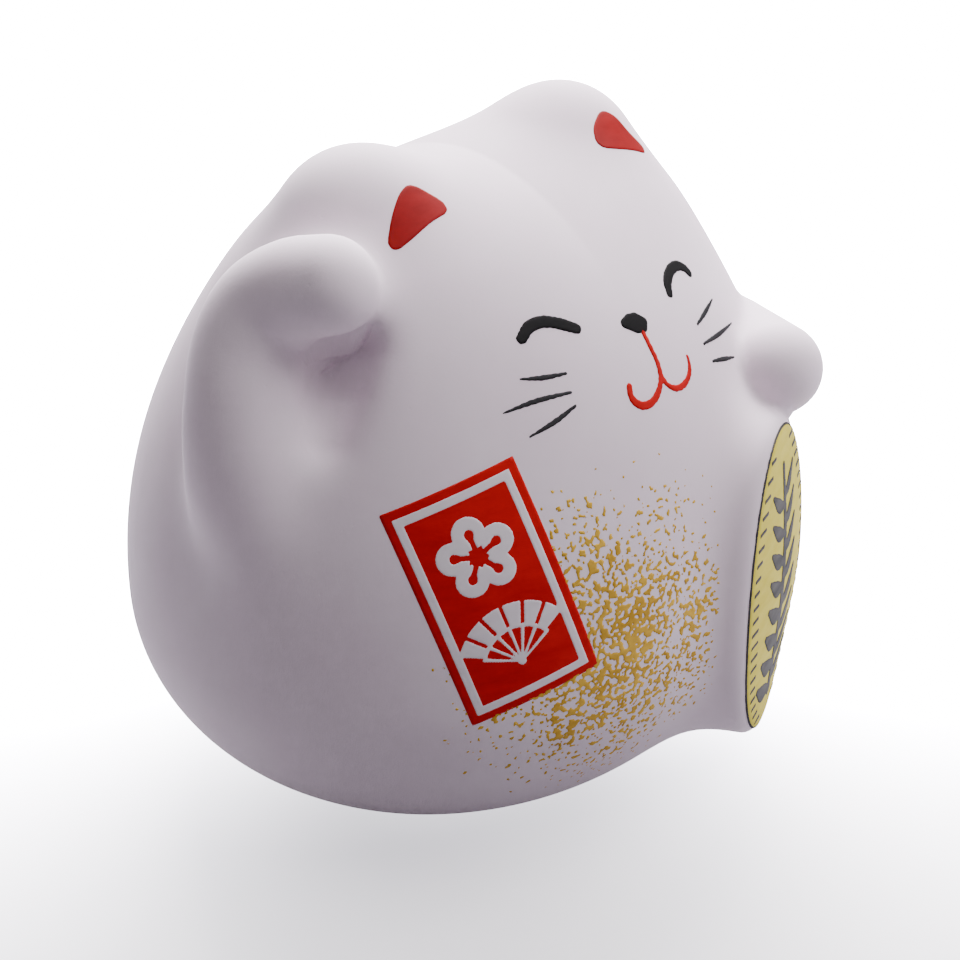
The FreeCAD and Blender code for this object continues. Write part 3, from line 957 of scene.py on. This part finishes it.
# %% [markdown]
# ## Gold dabbing
#
# Gold paint is dabbed on with a nearly dry sponge: hundreds of little ragged specks, thick
# in the middle of the patch and thinning to nothing. Scattered copies of a few speck shapes
# would look stamped. Instead a random field is smoothed to the sponge's grain, and the parts
# of it above a level become specks. The level rises away from the middle of the patch, which
# thins them out just as the sponge does. The random numbers start from a fixed seed, so the
# cat comes out the same every time.

# %% Gold specks
GOLD = Board((-14.6, -37.0, 29.9), -17.0, 5.0)
GOLD_RADIUS = 21.0
GOLD_STEP = 0.13
GOLD_THICKNESS = 0.035
SPECK_EDGE = 0.18
LEVEL_IN_MIDDLE, LEVEL_RISE, LEVEL_BEND = -0.2, 2.0, 2.4


def sponge_grain(count, grain, seed):
    """Square of smooth random values with one even grain size, from a fixed seed."""
    chance = np.random.default_rng(seed).standard_normal((count, count))
    ways = np.fft.fftfreq(count, GOLD_STEP)
    speed = np.hypot(*np.meshgrid(ways, ways, indexing="ij"))
    band = np.exp(-((speed - 0.4 / grain) / (0.4 / grain)) ** 2)
    values = np.fft.ifft2(np.fft.fft2(chance) * band).real
    return values / values.std()


grain_count = int(2.2 * GOLD_RADIUS / GOLD_STEP)
clumps = sponge_grain(grain_count, 0.58, 11)
crumbs = sponge_grain(grain_count, 0.3, 12)
patches = sponge_grain(grain_count, 5.0, 13)
grain = 0.76 * clumps + 0.6 * crumbs + 0.2 * patches


def look_up(table, u, v):
    """Value of a table at places on the board, blended between its corners."""
    x = np.clip(u / GOLD_STEP + len(table) / 2, 0, len(table) - 1.001)
    y = np.clip(v / GOLD_STEP + len(table) / 2, 0, len(table) - 1.001)
    i, j = x.astype(int), y.astype(int)
    a, b = x - i, y - j
    return ((1 - a) * (1 - b) * table[i, j] + a * (1 - b) * table[i + 1, j]
            + (1 - a) * b * table[i, j + 1] + a * b * table[i + 1, j + 1])


def specks(u, v):
    """Outline of the specks: below zero where the sponge left gold."""
    reach = np.hypot(u / 0.97, v) / GOLD_RADIUS
    level = LEVEL_IN_MIDDLE + LEVEL_RISE * reach ** LEVEL_BEND
    return (level - look_up(grain, u, v)) * SPECK_EDGE


def clear_of_label(points):
    """Leave out gold that the label covers, and gold on the coin's block."""
    u, v, _ = LABEL.flat(points)
    return (label_outline(u, v) > -0.3) & (koban_plinth(points) > 1.5)


gold = paint("gold_specks", GOLD, specks, (-22, 22, -22, 22), GOLD_STEP, GOLD_THICKNESS, 0.1,
             clear_of_label)
dress(gold, "figure", "gold_paint", "gold_dabbing")

# %% [markdown]
# ## The rubber stopper
#
# The stopper is one soft moulding: a flange that sits in the recess, a plug with two sealing
# ridges, and a hollow cup inside so that it can be squeezed. It is turned from a profile, as
# its mould would be. A grip bar stands across a dished middle, so a fingernail can pull it.

# %% Stopper
PLUG_TOP_RADIUS = 14.15
PLUG_RADIUS = 14.95
FLANGE_RADIUS = 18.5
FLANGE_BOTTOM, PLUG_TOP = stopper_low[2], stopper_high[2]
SHOULDER = FLANGE_BOTTOM + 1.5
TURNS = 96
GRIP_HALF = np.array([8.5, 1.3])

# radius and height of the profile's corners, each run measured from its own level
FLANGE_RUN = [(0.4, 0.75), (6.0, 0.75), (11.0, 0.7), (11.7, 0.45), (12.1, 0.12), (12.6, 0.0),
              (15.0, 0.0), (17.6, 0.0), (18.15, 0.12), (18.42, 0.4)]
PLUG_RUN = [(FLANGE_RADIUS, -0.75), (18.42, -0.35), (18.1, -0.1), (17.6, 0.0), (15.5, 0.0),
            (14.9, 0.1), (14.72, 0.4), (14.7, 1.2), (14.8, 1.6), (PLUG_RADIUS, 2.0), (14.8, 2.4),
            (14.65, 2.8), (14.65, 3.9), (14.75, 4.3), (14.85, 4.7), (14.7, 5.1), (14.4, 5.5)]
LIP_RUN = [(PLUG_TOP_RADIUS, -0.9), (13.95, -0.3), (13.5, 0.0), (12.6, 0.0), (12.1, -0.3),
           (11.95, -0.9)]
CUP_RUN = [(11.9, 3.0), (11.6, 1.6), (10.8, 1.05), (6.0, 1.0), (0.4, 1.0)]
STOPPER_PROFILE = [(radius, level + rise)
                   for level, run in ((FLANGE_BOTTOM, FLANGE_RUN), (SHOULDER, PLUG_RUN),
                                      (PLUG_TOP, LIP_RUN), (SHOULDER, CUP_RUN))
                   for radius, rise in run]


def turned(profile, name):
    """A closed solid turned about the body's axis from a profile of radius and level."""
    angles = np.arange(TURNS) * 2 * np.pi / TURNS
    corners = [(radius * np.cos(angle), radius * np.sin(angle), level)
               for radius, level in profile for angle in angles]
    faces = [(row * TURNS + k, row * TURNS + (k + 1) % TURNS,
              (row + 1) * TURNS + (k + 1) % TURNS, (row + 1) * TURNS + k)
             for row in range(len(profile) - 1) for k in range(TURNS)]
    last = (len(profile) - 1) * TURNS
    faces.append(tuple(range(TURNS))[::-1])
    faces.append(tuple(last + k for k in range(TURNS)))
    return new_piece(name, corners, faces, smooth=True)


def grip_bar(name):
    """Rounded bar that crosses the dished middle of the flange."""
    levels = [(FLANGE_BOTTOM + 1.0, 0.0), (FLANGE_BOTTOM + 0.45, 0.0), (FLANGE_BOTTOM + 0.2, 0.12),
              (FLANGE_BOTTOM + 0.06, 0.35), (FLANGE_BOTTOM, 0.7)]
    around = np.linspace(-np.pi / 2, np.pi / 2, 13)
    corners, faces = [], []
    for level, inset in levels:
        radius = GRIP_HALF[1] - inset
        ends = [(side * (GRIP_HALF[0] + radius * np.cos(angle)), side * radius * np.sin(angle))
                for side in (1, -1) for angle in around]
        corners += [(x, y, level) for x, y in ends]
    ring = 2 * len(around)
    for row in range(len(levels) - 1):
        faces += [(row * ring + (k + 1) % ring, row * ring + k,
                   (row + 1) * ring + k, (row + 1) * ring + (k + 1) % ring) for k in range(ring)]
    faces.append(tuple(range(ring)))
    faces.append(tuple((len(levels) - 1) * ring + k for k in range(ring))[::-1])
    return new_piece(name, corners, faces)


dress(turned(STOPPER_PROFILE, "stopper_cup"), "stopper", "rubber", "stopper")
dress(grip_bar("stopper_grip"), "stopper", "rubber")
print(f"stopper from {FLANGE_BOTTOM:.2f} to {PLUG_TOP:.2f} mm above the table")

# %% [markdown]
# ## Surfaces
#
# Three effects are used by more than one finish, so each is built once as a node group and
# plugged in wherever it's needed. *Fired grain* is the fine tooth of unglazed clay: a bump
# with soft hollows and pin pricks, and a mask for its faint blotches. *Brushed body* is the
# uneven thickness of hand-laid enamel: a mask for thin and thick places and a slow ripple.
# *Handling* is the soft grey that fingers and dust leave in patches, plus grey that grows
# towards the bottom of the cat; both are kept very faint. A picture could be
# wrapped round the cat instead, but nodes have no seams and stay sharp at any distance.

# %% Node helpers and shared groups
PLACE = "Object"


def node(tree, kind, **settings):
    """Add a shader node; settings with a capital are sockets, the others are properties."""
    made = tree.nodes.new("ShaderNode" + kind)
    for key, value in settings.items():
        if key[0].isupper():
            made.inputs[key.replace("_", " ")].default_value = value
        else:
            setattr(made, key, value)
    return made


def wire(tree, source, output, target, socket):
    """Link an output of one shader node to a socket of another, both by name or number."""
    tree.links.new(source.outputs[output], target.inputs[socket])


def new_group(name, inputs, outputs):
    """Node group with named sockets; returns the tree and its two ends."""
    tree = bpy.data.node_groups.new(name, "ShaderNodeTree")
    for label_text, kind, value in inputs:
        socket = tree.interface.new_socket(label_text, in_out="INPUT", socket_type=kind)
        socket.default_value = value
    for label_text, kind in outputs:
        tree.interface.new_socket(label_text, in_out="OUTPUT", socket_type=kind)
    return tree, tree.nodes.new("NodeGroupInput"), tree.nodes.new("NodeGroupOutput")


def fired_grain():
    """Tooth of unglazed clay."""
    tree, start, end = new_group(
        "fired grain", [("Tooth", "NodeSocketFloat", 0.1)],
        [("Blotches", "NodeSocketFloat"), ("Pricks", "NodeSocketFloat"),
         ("Normal", "NodeSocketVector")])
    place = node(tree, "TexCoord")
    blotches = node(tree, "TexNoise", Scale=55.0, Detail=5.0, Roughness=0.55)
    tooth = node(tree, "TexNoise", Scale=2400.0, Detail=3.0, Roughness=0.6)
    hollows = node(tree, "TexNoise", Scale=330.0, Detail=2.0, Roughness=0.5)
    cells = node(tree, "TexVoronoi", Scale=420.0, Randomness=1.0)
    pricks = node(tree, "MapRange", From_Min=0.035, From_Max=0.09)
    lift = node(tree, "Math", operation="MULTIPLY_ADD")
    lift.inputs[1].default_value = 0.6
    relief = node(tree, "Math", operation="ADD")
    bump = node(tree, "Bump", Distance=0.00012)
    for texture in (blotches, tooth, hollows, cells):
        wire(tree, place, PLACE, texture, "Vector")
    wire(tree, cells, "Distance", pricks, "Value")
    wire(tree, hollows, 0, lift, 0)
    wire(tree, tooth, 0, lift, 2)
    wire(tree, lift, 0, relief, 0)
    wire(tree, pricks, "Result", relief, 1)
    wire(tree, relief, 0, bump, "Height")
    wire(tree, start, "Tooth", bump, "Strength")
    wire(tree, blotches, 0, end, "Blotches")
    wire(tree, pricks, "Result", end, "Pricks")
    wire(tree, bump, "Normal", end, "Normal")
    return tree


def brushed_body():
    """Thin and thick places in hand-laid colour, and its slow ripple."""
    tree, start, end = new_group(
        "brushed body", [("Ripple", "NodeSocketFloat", 0.2), ("Stretch", "NodeSocketFloat", 3.0)],
        [("Thickness", "NodeSocketFloat"), ("Normal", "NodeSocketVector")])
    place = node(tree, "TexCoord")
    size = node(tree, "CombineXYZ", X=1.0, Y=1.0)
    along = node(tree, "VectorMath", operation="MULTIPLY")
    coats = node(tree, "TexNoise", Scale=190.0, Detail=4.0, Roughness=0.6)
    ripple = node(tree, "TexNoise", Scale=900.0, Detail=2.0, Roughness=0.5)
    bump = node(tree, "Bump", Distance=0.0001)
    wire(tree, start, "Stretch", size, "Z")
    wire(tree, place, PLACE, along, 0)
    wire(tree, size, 0, along, 1)
    wire(tree, along, 0, coats, "Vector")
    wire(tree, along, 0, ripple, "Vector")
    wire(tree, ripple, 0, bump, "Height")
    wire(tree, start, "Ripple", bump, "Strength")
    wire(tree, coats, 0, end, "Thickness")
    wire(tree, bump, "Normal", end, "Normal")
    return tree


def handling():
    """Soft grey patches where fingers and dust have been, and grey that grows towards the bottom.
    """
    tree, start, end = new_group(
        "handling", [("Amount", "NodeSocketFloat", 0.3)], [("Mask", "NodeSocketFloat")])
    place = node(tree, "TexCoord")
    smudges = node(tree, "TexNoise", Scale=38.0, Detail=6.0, Roughness=0.62)
    spread = node(tree, "MapRange", From_Min=0.5, From_Max=0.78)
    height = node(tree, "SeparateXYZ")
    # darker towards the bottom: grey that grows over the lowest 20 mm of each piece
    low = node(tree, "MapRange", From_Min=0.02, From_Max=0.0)
    both_masks = node(tree, "Math", operation="MAXIMUM")
    amount = node(tree, "Math", operation="MULTIPLY")
    wire(tree, place, PLACE, smudges, "Vector")
    wire(tree, place, PLACE, height, 0)
    wire(tree, smudges, 0, spread, "Value")
    wire(tree, height, "Z", low, "Value")
    wire(tree, spread, "Result", both_masks, 0)
    wire(tree, low, "Result", both_masks, 1)
    wire(tree, both_masks, 0, amount, 0)
    wire(tree, start, "Amount", amount, 1)
    wire(tree, amount, 0, end, "Mask")
    return tree


GROUPS = {"grain": fired_grain(), "brush": brushed_body(), "handling": handling()}
print("shared groups:", ", ".join(tree.name for tree in GROUPS.values()))

# %% [markdown]
# ## The finishes
#
# Each finish has its own colours and its own shine, and borrows the shared effects. Bisque
# is white with a breath of pink and lavender, and fully matt. The inks lie almost flush with
# it and dull it a little. Enamel is brushed on thick and keeps a soft shine, and the gold is
# metal powder in varnish, so it only glints where a speck faces the light.

# %% Finishes
def finish(name, dark, light, roughness, effect, ripple, **extra):
    """Material that blends two colours by one shared effect, under a little handling."""
    material = bpy.data.materials.new(name)
    material.use_nodes = True
    tree = material.node_tree
    surface = tree.nodes["Principled BSDF"]
    shared = node(tree, "Group", node_tree=GROUPS[effect])
    wear = node(tree, "Group", node_tree=GROUPS["handling"])
    wear.inputs["Amount"].default_value = extra.pop("wear", 0.12)
    shared.inputs[0].default_value = ripple
    colours = node(tree, "Mix", data_type="RGBA")
    colours.inputs["A"].default_value = (*dark, 1)
    colours.inputs["B"].default_value = (*light, 1)
    spread = node(tree, "MapRange", From_Min=0.32, From_Max=0.68)
    dusty = node(tree, "Mix", data_type="RGBA")
    dusty.inputs["B"].default_value = (*extra.pop("dust", (0.42, 0.38, 0.4)), 1)
    shine = node(tree, "MapRange", To_Min=roughness + 0.07, To_Max=roughness - 0.05)
    wire(tree, shared, 0, spread, "Value")
    wire(tree, spread, "Result", colours, "Factor")
    wire(tree, colours, "Result", dusty, "A")
    wire(tree, wear, "Mask", dusty, "Factor")
    wire(tree, dusty, "Result", surface, "Base Color")
    wire(tree, shared, 0, shine, "Value")
    wire(tree, shine, "Result", surface, "Roughness")
    wire(tree, shared, "Normal", surface, "Normal")
    for socket, value in extra.items():
        surface.inputs[socket.replace("_", " ")].default_value = value
    return material


INK_GLOSS = 0.12


def ink(name, dark, light, roughness, ripple, wear=0.0):
    """Printed or brushed colour, with the low gloss that all of them share."""
    return finish(name, dark, light, roughness, "brush", ripple, wear=wear,
                  Specular_IOR_Level=INK_GLOSS)


FINISHES = {
    "bisque": finish("white bisque", (0.82, 0.7, 0.785), (0.87, 0.76, 0.84), 0.82, "grain",
                     0.09, wear=0.08, Specular_IOR_Level=0.2),
    "koban_yellow": ink("coin yellow", (0.64, 0.54, 0.035), (0.72, 0.62, 0.06), 0.62, 0.1, 0.03),
    "print_grey": ink("print grey", (0.04, 0.04, 0.04), (0.075, 0.073, 0.07), 0.65, 0.1, 0.03),
    "label_red": ink("label red", (0.5, 0.001, 0.002), (0.6, 0.003, 0.004), 0.6, 0.1),
    "gold_paint": finish("dabbed gold", (0.5, 0.28, 0.02), (0.76, 0.48, 0.06), 0.55, "brush",
                         0.3, wear=0.03, Metallic=0.2, Specular_IOR_Level=0.2),
    "ear_red": ink("ear red", (0.2, 0.0005, 0.001), (0.27, 0.001, 0.002), 0.62, 0.16),
    "black_enamel": ink("black enamel", (0.003, 0.003, 0.0035), (0.007, 0.0065, 0.007), 0.62,
                        0.16),
    "mouth_red": ink("mouth red", (0.4, 0.002, 0.002), (0.5, 0.005, 0.004), 0.6, 0.16),
    "whisker_grey": ink("whisker grey", (0.014, 0.014, 0.016), (0.03, 0.03, 0.032), 0.65, 0.16),
    "rubber": finish("milky rubber", (0.58, 0.57, 0.53), (0.68, 0.67, 0.63), 0.56, "grain",
                     0.06, wear=0.3, Specular_IOR_Level=0.4),
}
label_white = ink("label white", (0.78, 0.72, 0.77), (0.84, 0.79, 0.83), 0.65, 0.1, 0.02)

for piece in list(bpy.data.objects):
    slot_name = piece.get("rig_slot")
    if piece.type == "MESH" and slot_name in FINISHES:
        piece.data.materials.clear()
        piece.data.materials.append(FINISHES[slot_name])
label_print.data.materials.clear()
label_print.data.materials.append(label_white)
print(len(FINISHES) + 1, "finishes")

# %% [markdown]
# ## Table, light and view
#
# The cat stands on white card that runs far back. One large soft box hangs behind the cat on
# its left, high up, and a weaker one hangs over its left front. Nothing fills the side that
# faces us but light that comes back from the card, so that side is in open shade. In such a
# picture the card behind the subject burns out to pure white. Lamps strong enough for that
# would flood the cat too, so the card itself glows, as painted light: faintly near the cat,
# where a painted shade dims it round the foot, and more with every centimetre behind it. The
# camera sees the card whiter than the grey that it bounces. Only a little of that glow is let
# onto the cat, as a pale rim. The camera looks down at the cat from its right front with a
# long lens.

# %% Card
VIEW_TURN = np.radians(45.78)
AWAY = np.array([np.sin(VIEW_TURN), np.cos(VIEW_TURN), 0.0])
GLOW_REACH = 24.0
GLOW_START = 70.0
GLOW_LIMIT = 18.0
# middle of the painted shade that dims the card's glow round the cat's foot
SHADE_MIDDLE = to_frame(-25.0 * AWAY)
RIM_SHARE = 0.1

card_mesh = bpy.data.meshes.new("card")
card_mesh.from_pydata([(-3, -3, 0), (3, -3, 0), (3, 3, 0), (-3, 3, 0)], [], [(0, 1, 2, 3)])
card = bpy.data.objects.new("card", card_mesh)
bpy.context.scene.collection.objects.link(card)
card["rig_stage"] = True


def glowing_card():
    """White card: a painted glow grows away from us, and a painted shade dims it round the foot.
    """
    material = finish("white card", (0.84, 0.825, 0.84), (0.88, 0.87, 0.88), 0.8, "brush", 0.05,
                      wear=0.0)
    tree = material.node_tree
    surface = tree.nodes["Principled BSDF"]
    place = node(tree, "TexCoord")
    path = node(tree, "LightPath")
    behind = node(tree, "VectorMath", operation="DOT_PRODUCT")
    behind.inputs[1].default_value = AWAY
    growth = node(tree, "Math", operation="MULTIPLY_ADD")
    growth.inputs[1].default_value = 1 / (GLOW_REACH * MM)
    growth.inputs[2].default_value = GLOW_START / GLOW_REACH
    glow = node(tree, "Math", operation="EXPONENT")
    capped = node(tree, "Math", operation="MINIMUM")
    capped.inputs[1].default_value = GLOW_LIMIT
    # painted shade: the glow is dimmed near the cat's foot, standing in for its shadow
    reach = node(tree, "VectorMath", operation="DISTANCE")
    reach.inputs[1].default_value = SHADE_MIDDLE
    shade = node(tree, "MapRange", interpolation_type="SMOOTHSTEP", From_Min=0.012,
                 From_Max=0.07, To_Min=0.25, To_Max=1.15)
    shaded = node(tree, "Math", operation="MULTIPLY")
    share = node(tree, "MapRange", To_Min=RIM_SHARE, To_Max=1.0)
    shown = node(tree, "Math", operation="MULTIPLY")
    ring = node(tree, "MapRange", From_Min=0.105, From_Max=0.19, To_Max=GLOW_LIMIT)
    ring_shown = node(tree, "Math", operation="MULTIPLY")
    total = node(tree, "Math", operation="ADD")
    under = node(tree, "NewGeometry")
    clear = node(tree, "BsdfTransparent")
    one_sided = node(tree, "MixShader")
    # painted brightness: the camera sees the card's light colour, while light bounced onto the cat
    # takes a darker grey
    returned = node(tree, "Mix", data_type="RGBA")
    returned.inputs["A"].default_value = (0.27, 0.26, 0.285, 1)
    painted = surface.inputs["Base Color"].links[0].from_node
    wire(tree, place, PLACE, behind, 0)
    wire(tree, place, PLACE, reach, 0)
    wire(tree, behind, "Value", growth, 0)
    wire(tree, growth, 0, glow, 0)
    wire(tree, glow, 0, capped, 0)
    wire(tree, reach, "Value", shade, "Value")
    wire(tree, capped, 0, shaded, 0)
    wire(tree, shade, "Result", shaded, 1)
    wire(tree, path, "Is Camera Ray", share, "Value")
    wire(tree, shaded, 0, shown, 0)
    wire(tree, share, "Result", shown, 1)
    wire(tree, reach, "Value", ring, "Value")
    wire(tree, ring, "Result", ring_shown, 0)
    wire(tree, path, "Is Camera Ray", ring_shown, 1)
    wire(tree, shown, 0, total, 0)
    wire(tree, ring_shown, 0, total, 1)
    wire(tree, total, 0, surface, "Emission Strength")
    wire(tree, under, "Backfacing", one_sided, "Fac")
    wire(tree, surface, "BSDF", one_sided, 1)
    wire(tree, clear, "BSDF", one_sided, 2)
    wire(tree, one_sided, "Shader", tree.nodes["Material Output"], "Surface")
    wire(tree, path, "Is Camera Ray", returned, "Factor")
    wire(tree, painted, "Result", returned, "B")
    wire(tree, returned, "Result", surface, "Base Color")
    surface.inputs["Emission Color"].default_value = (0.98, 0.965, 1.05, 1)
    return material


card_mesh.materials.append(glowing_card())

# %% Lights
def soft_box(name, place, target, width, height, power, colour):
    """Rectangular area light at a place in millimetres, turned towards a target."""
    lamp = bpy.data.lights.new(name, "AREA")
    lamp.shape = "RECTANGLE"
    lamp.size, lamp.size_y = width * MM, height * MM
    lamp.energy = power
    lamp.color = colour
    box = bpy.data.objects.new(name, lamp)
    bpy.context.scene.collection.objects.link(box)
    box.location = to_frame(place)
    toward = Vector(to_frame(target)) - box.location
    box.rotation_euler = toward.to_track_quat("-Z", "Y").to_euler()
    return box


soft_box("back box", (220, 220, 330), (0, 0, 30), 350, 350, 9.5, (1.0, 0.965, 0.985))
soft_box("front box", (170, -170, 380), (0, 0, 30), 350, 350, 2.4, (1.0, 0.96, 0.99))
soft_box("top box", (-90, -60, 450), (0, 0, 50), 350, 350, 0.35, (1.0, 0.97, 0.99))

world = bpy.data.worlds.new("studio")
bpy.context.scene.world = world
world.use_nodes = True
studio = world.node_tree
ambient = studio.nodes["Background"]
ambient.inputs["Color"].default_value = (0.97, 0.96, 1.0, 1)
sky_path = node(studio, "LightPath")
sky_seen = node(studio, "MapRange", To_Min=0.02, To_Max=GLOW_LIMIT)
sky_way = node(studio, "TexCoord")
sky_height = node(studio, "SeparateXYZ")
below = node(studio, "Math", operation="LESS_THAN")
below.inputs[1].default_value = 0.0
sky_power = node(studio, "Mix", data_type="FLOAT")
sky_power.inputs["B"].default_value = 1.1
wire(studio, sky_path, "Is Camera Ray", sky_seen, "Value")
wire(studio, sky_way, "Generated", sky_height, 0)
wire(studio, sky_height, "Z", below, 0)
wire(studio, below, 0, sky_power, "Factor")
wire(studio, sky_seen, "Result", sky_power, "A")
wire(studio, sky_power, "Result", ambient, "Strength")

# %% Camera
CAMERA_RISE, CAMERA_ROLL = np.radians([27.81, -0.98])
CAMERA_DISTANCE = 248.49
CAMERA_TARGET = np.array([0.18, -2.39, 33.57])
backward = np.array([-np.sin(VIEW_TURN) * np.cos(CAMERA_RISE),
                     -np.cos(VIEW_TURN) * np.cos(CAMERA_RISE), np.sin(CAMERA_RISE)])
level_right = np.array([np.cos(VIEW_TURN), -np.sin(VIEW_TURN), 0.0])
level_up = np.cross(backward, level_right)
right = level_right * np.cos(CAMERA_ROLL) + level_up * np.sin(CAMERA_ROLL)
upward = level_up * np.cos(CAMERA_ROLL) - level_right * np.sin(CAMERA_ROLL)
lens = bpy.data.cameras.new("view")
lens.lens, lens.sensor_width, lens.clip_start = 70.9, 36, 0.01
camera = bpy.data.objects.new("view", lens)
bpy.context.scene.collection.objects.link(camera)
placed = Matrix.Identity(4)
for row in range(3):
    placed[row] = (right[row], upward[row], backward[row],
                   to_frame(CAMERA_TARGET + CAMERA_DISTANCE * backward)[row])
camera.matrix_world = placed
bpy.context.scene.camera = camera

# %% [markdown]
# ## Measure
#
# The box of the finished cat is set beside the box of the frame. They should agree to within
# the thickness of the paint, because every shape above was sized from the frame.

# %% Sizes and finish
visual_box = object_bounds()
for corner, cad_corner, made_corner in zip(("low", "high"), cad_box, visual_box):
    print(corner, "frame", np.round(np.array(cad_corner) / MM, 2),
          "cat", np.round(np.array(made_corner) / MM, 2), "mm")
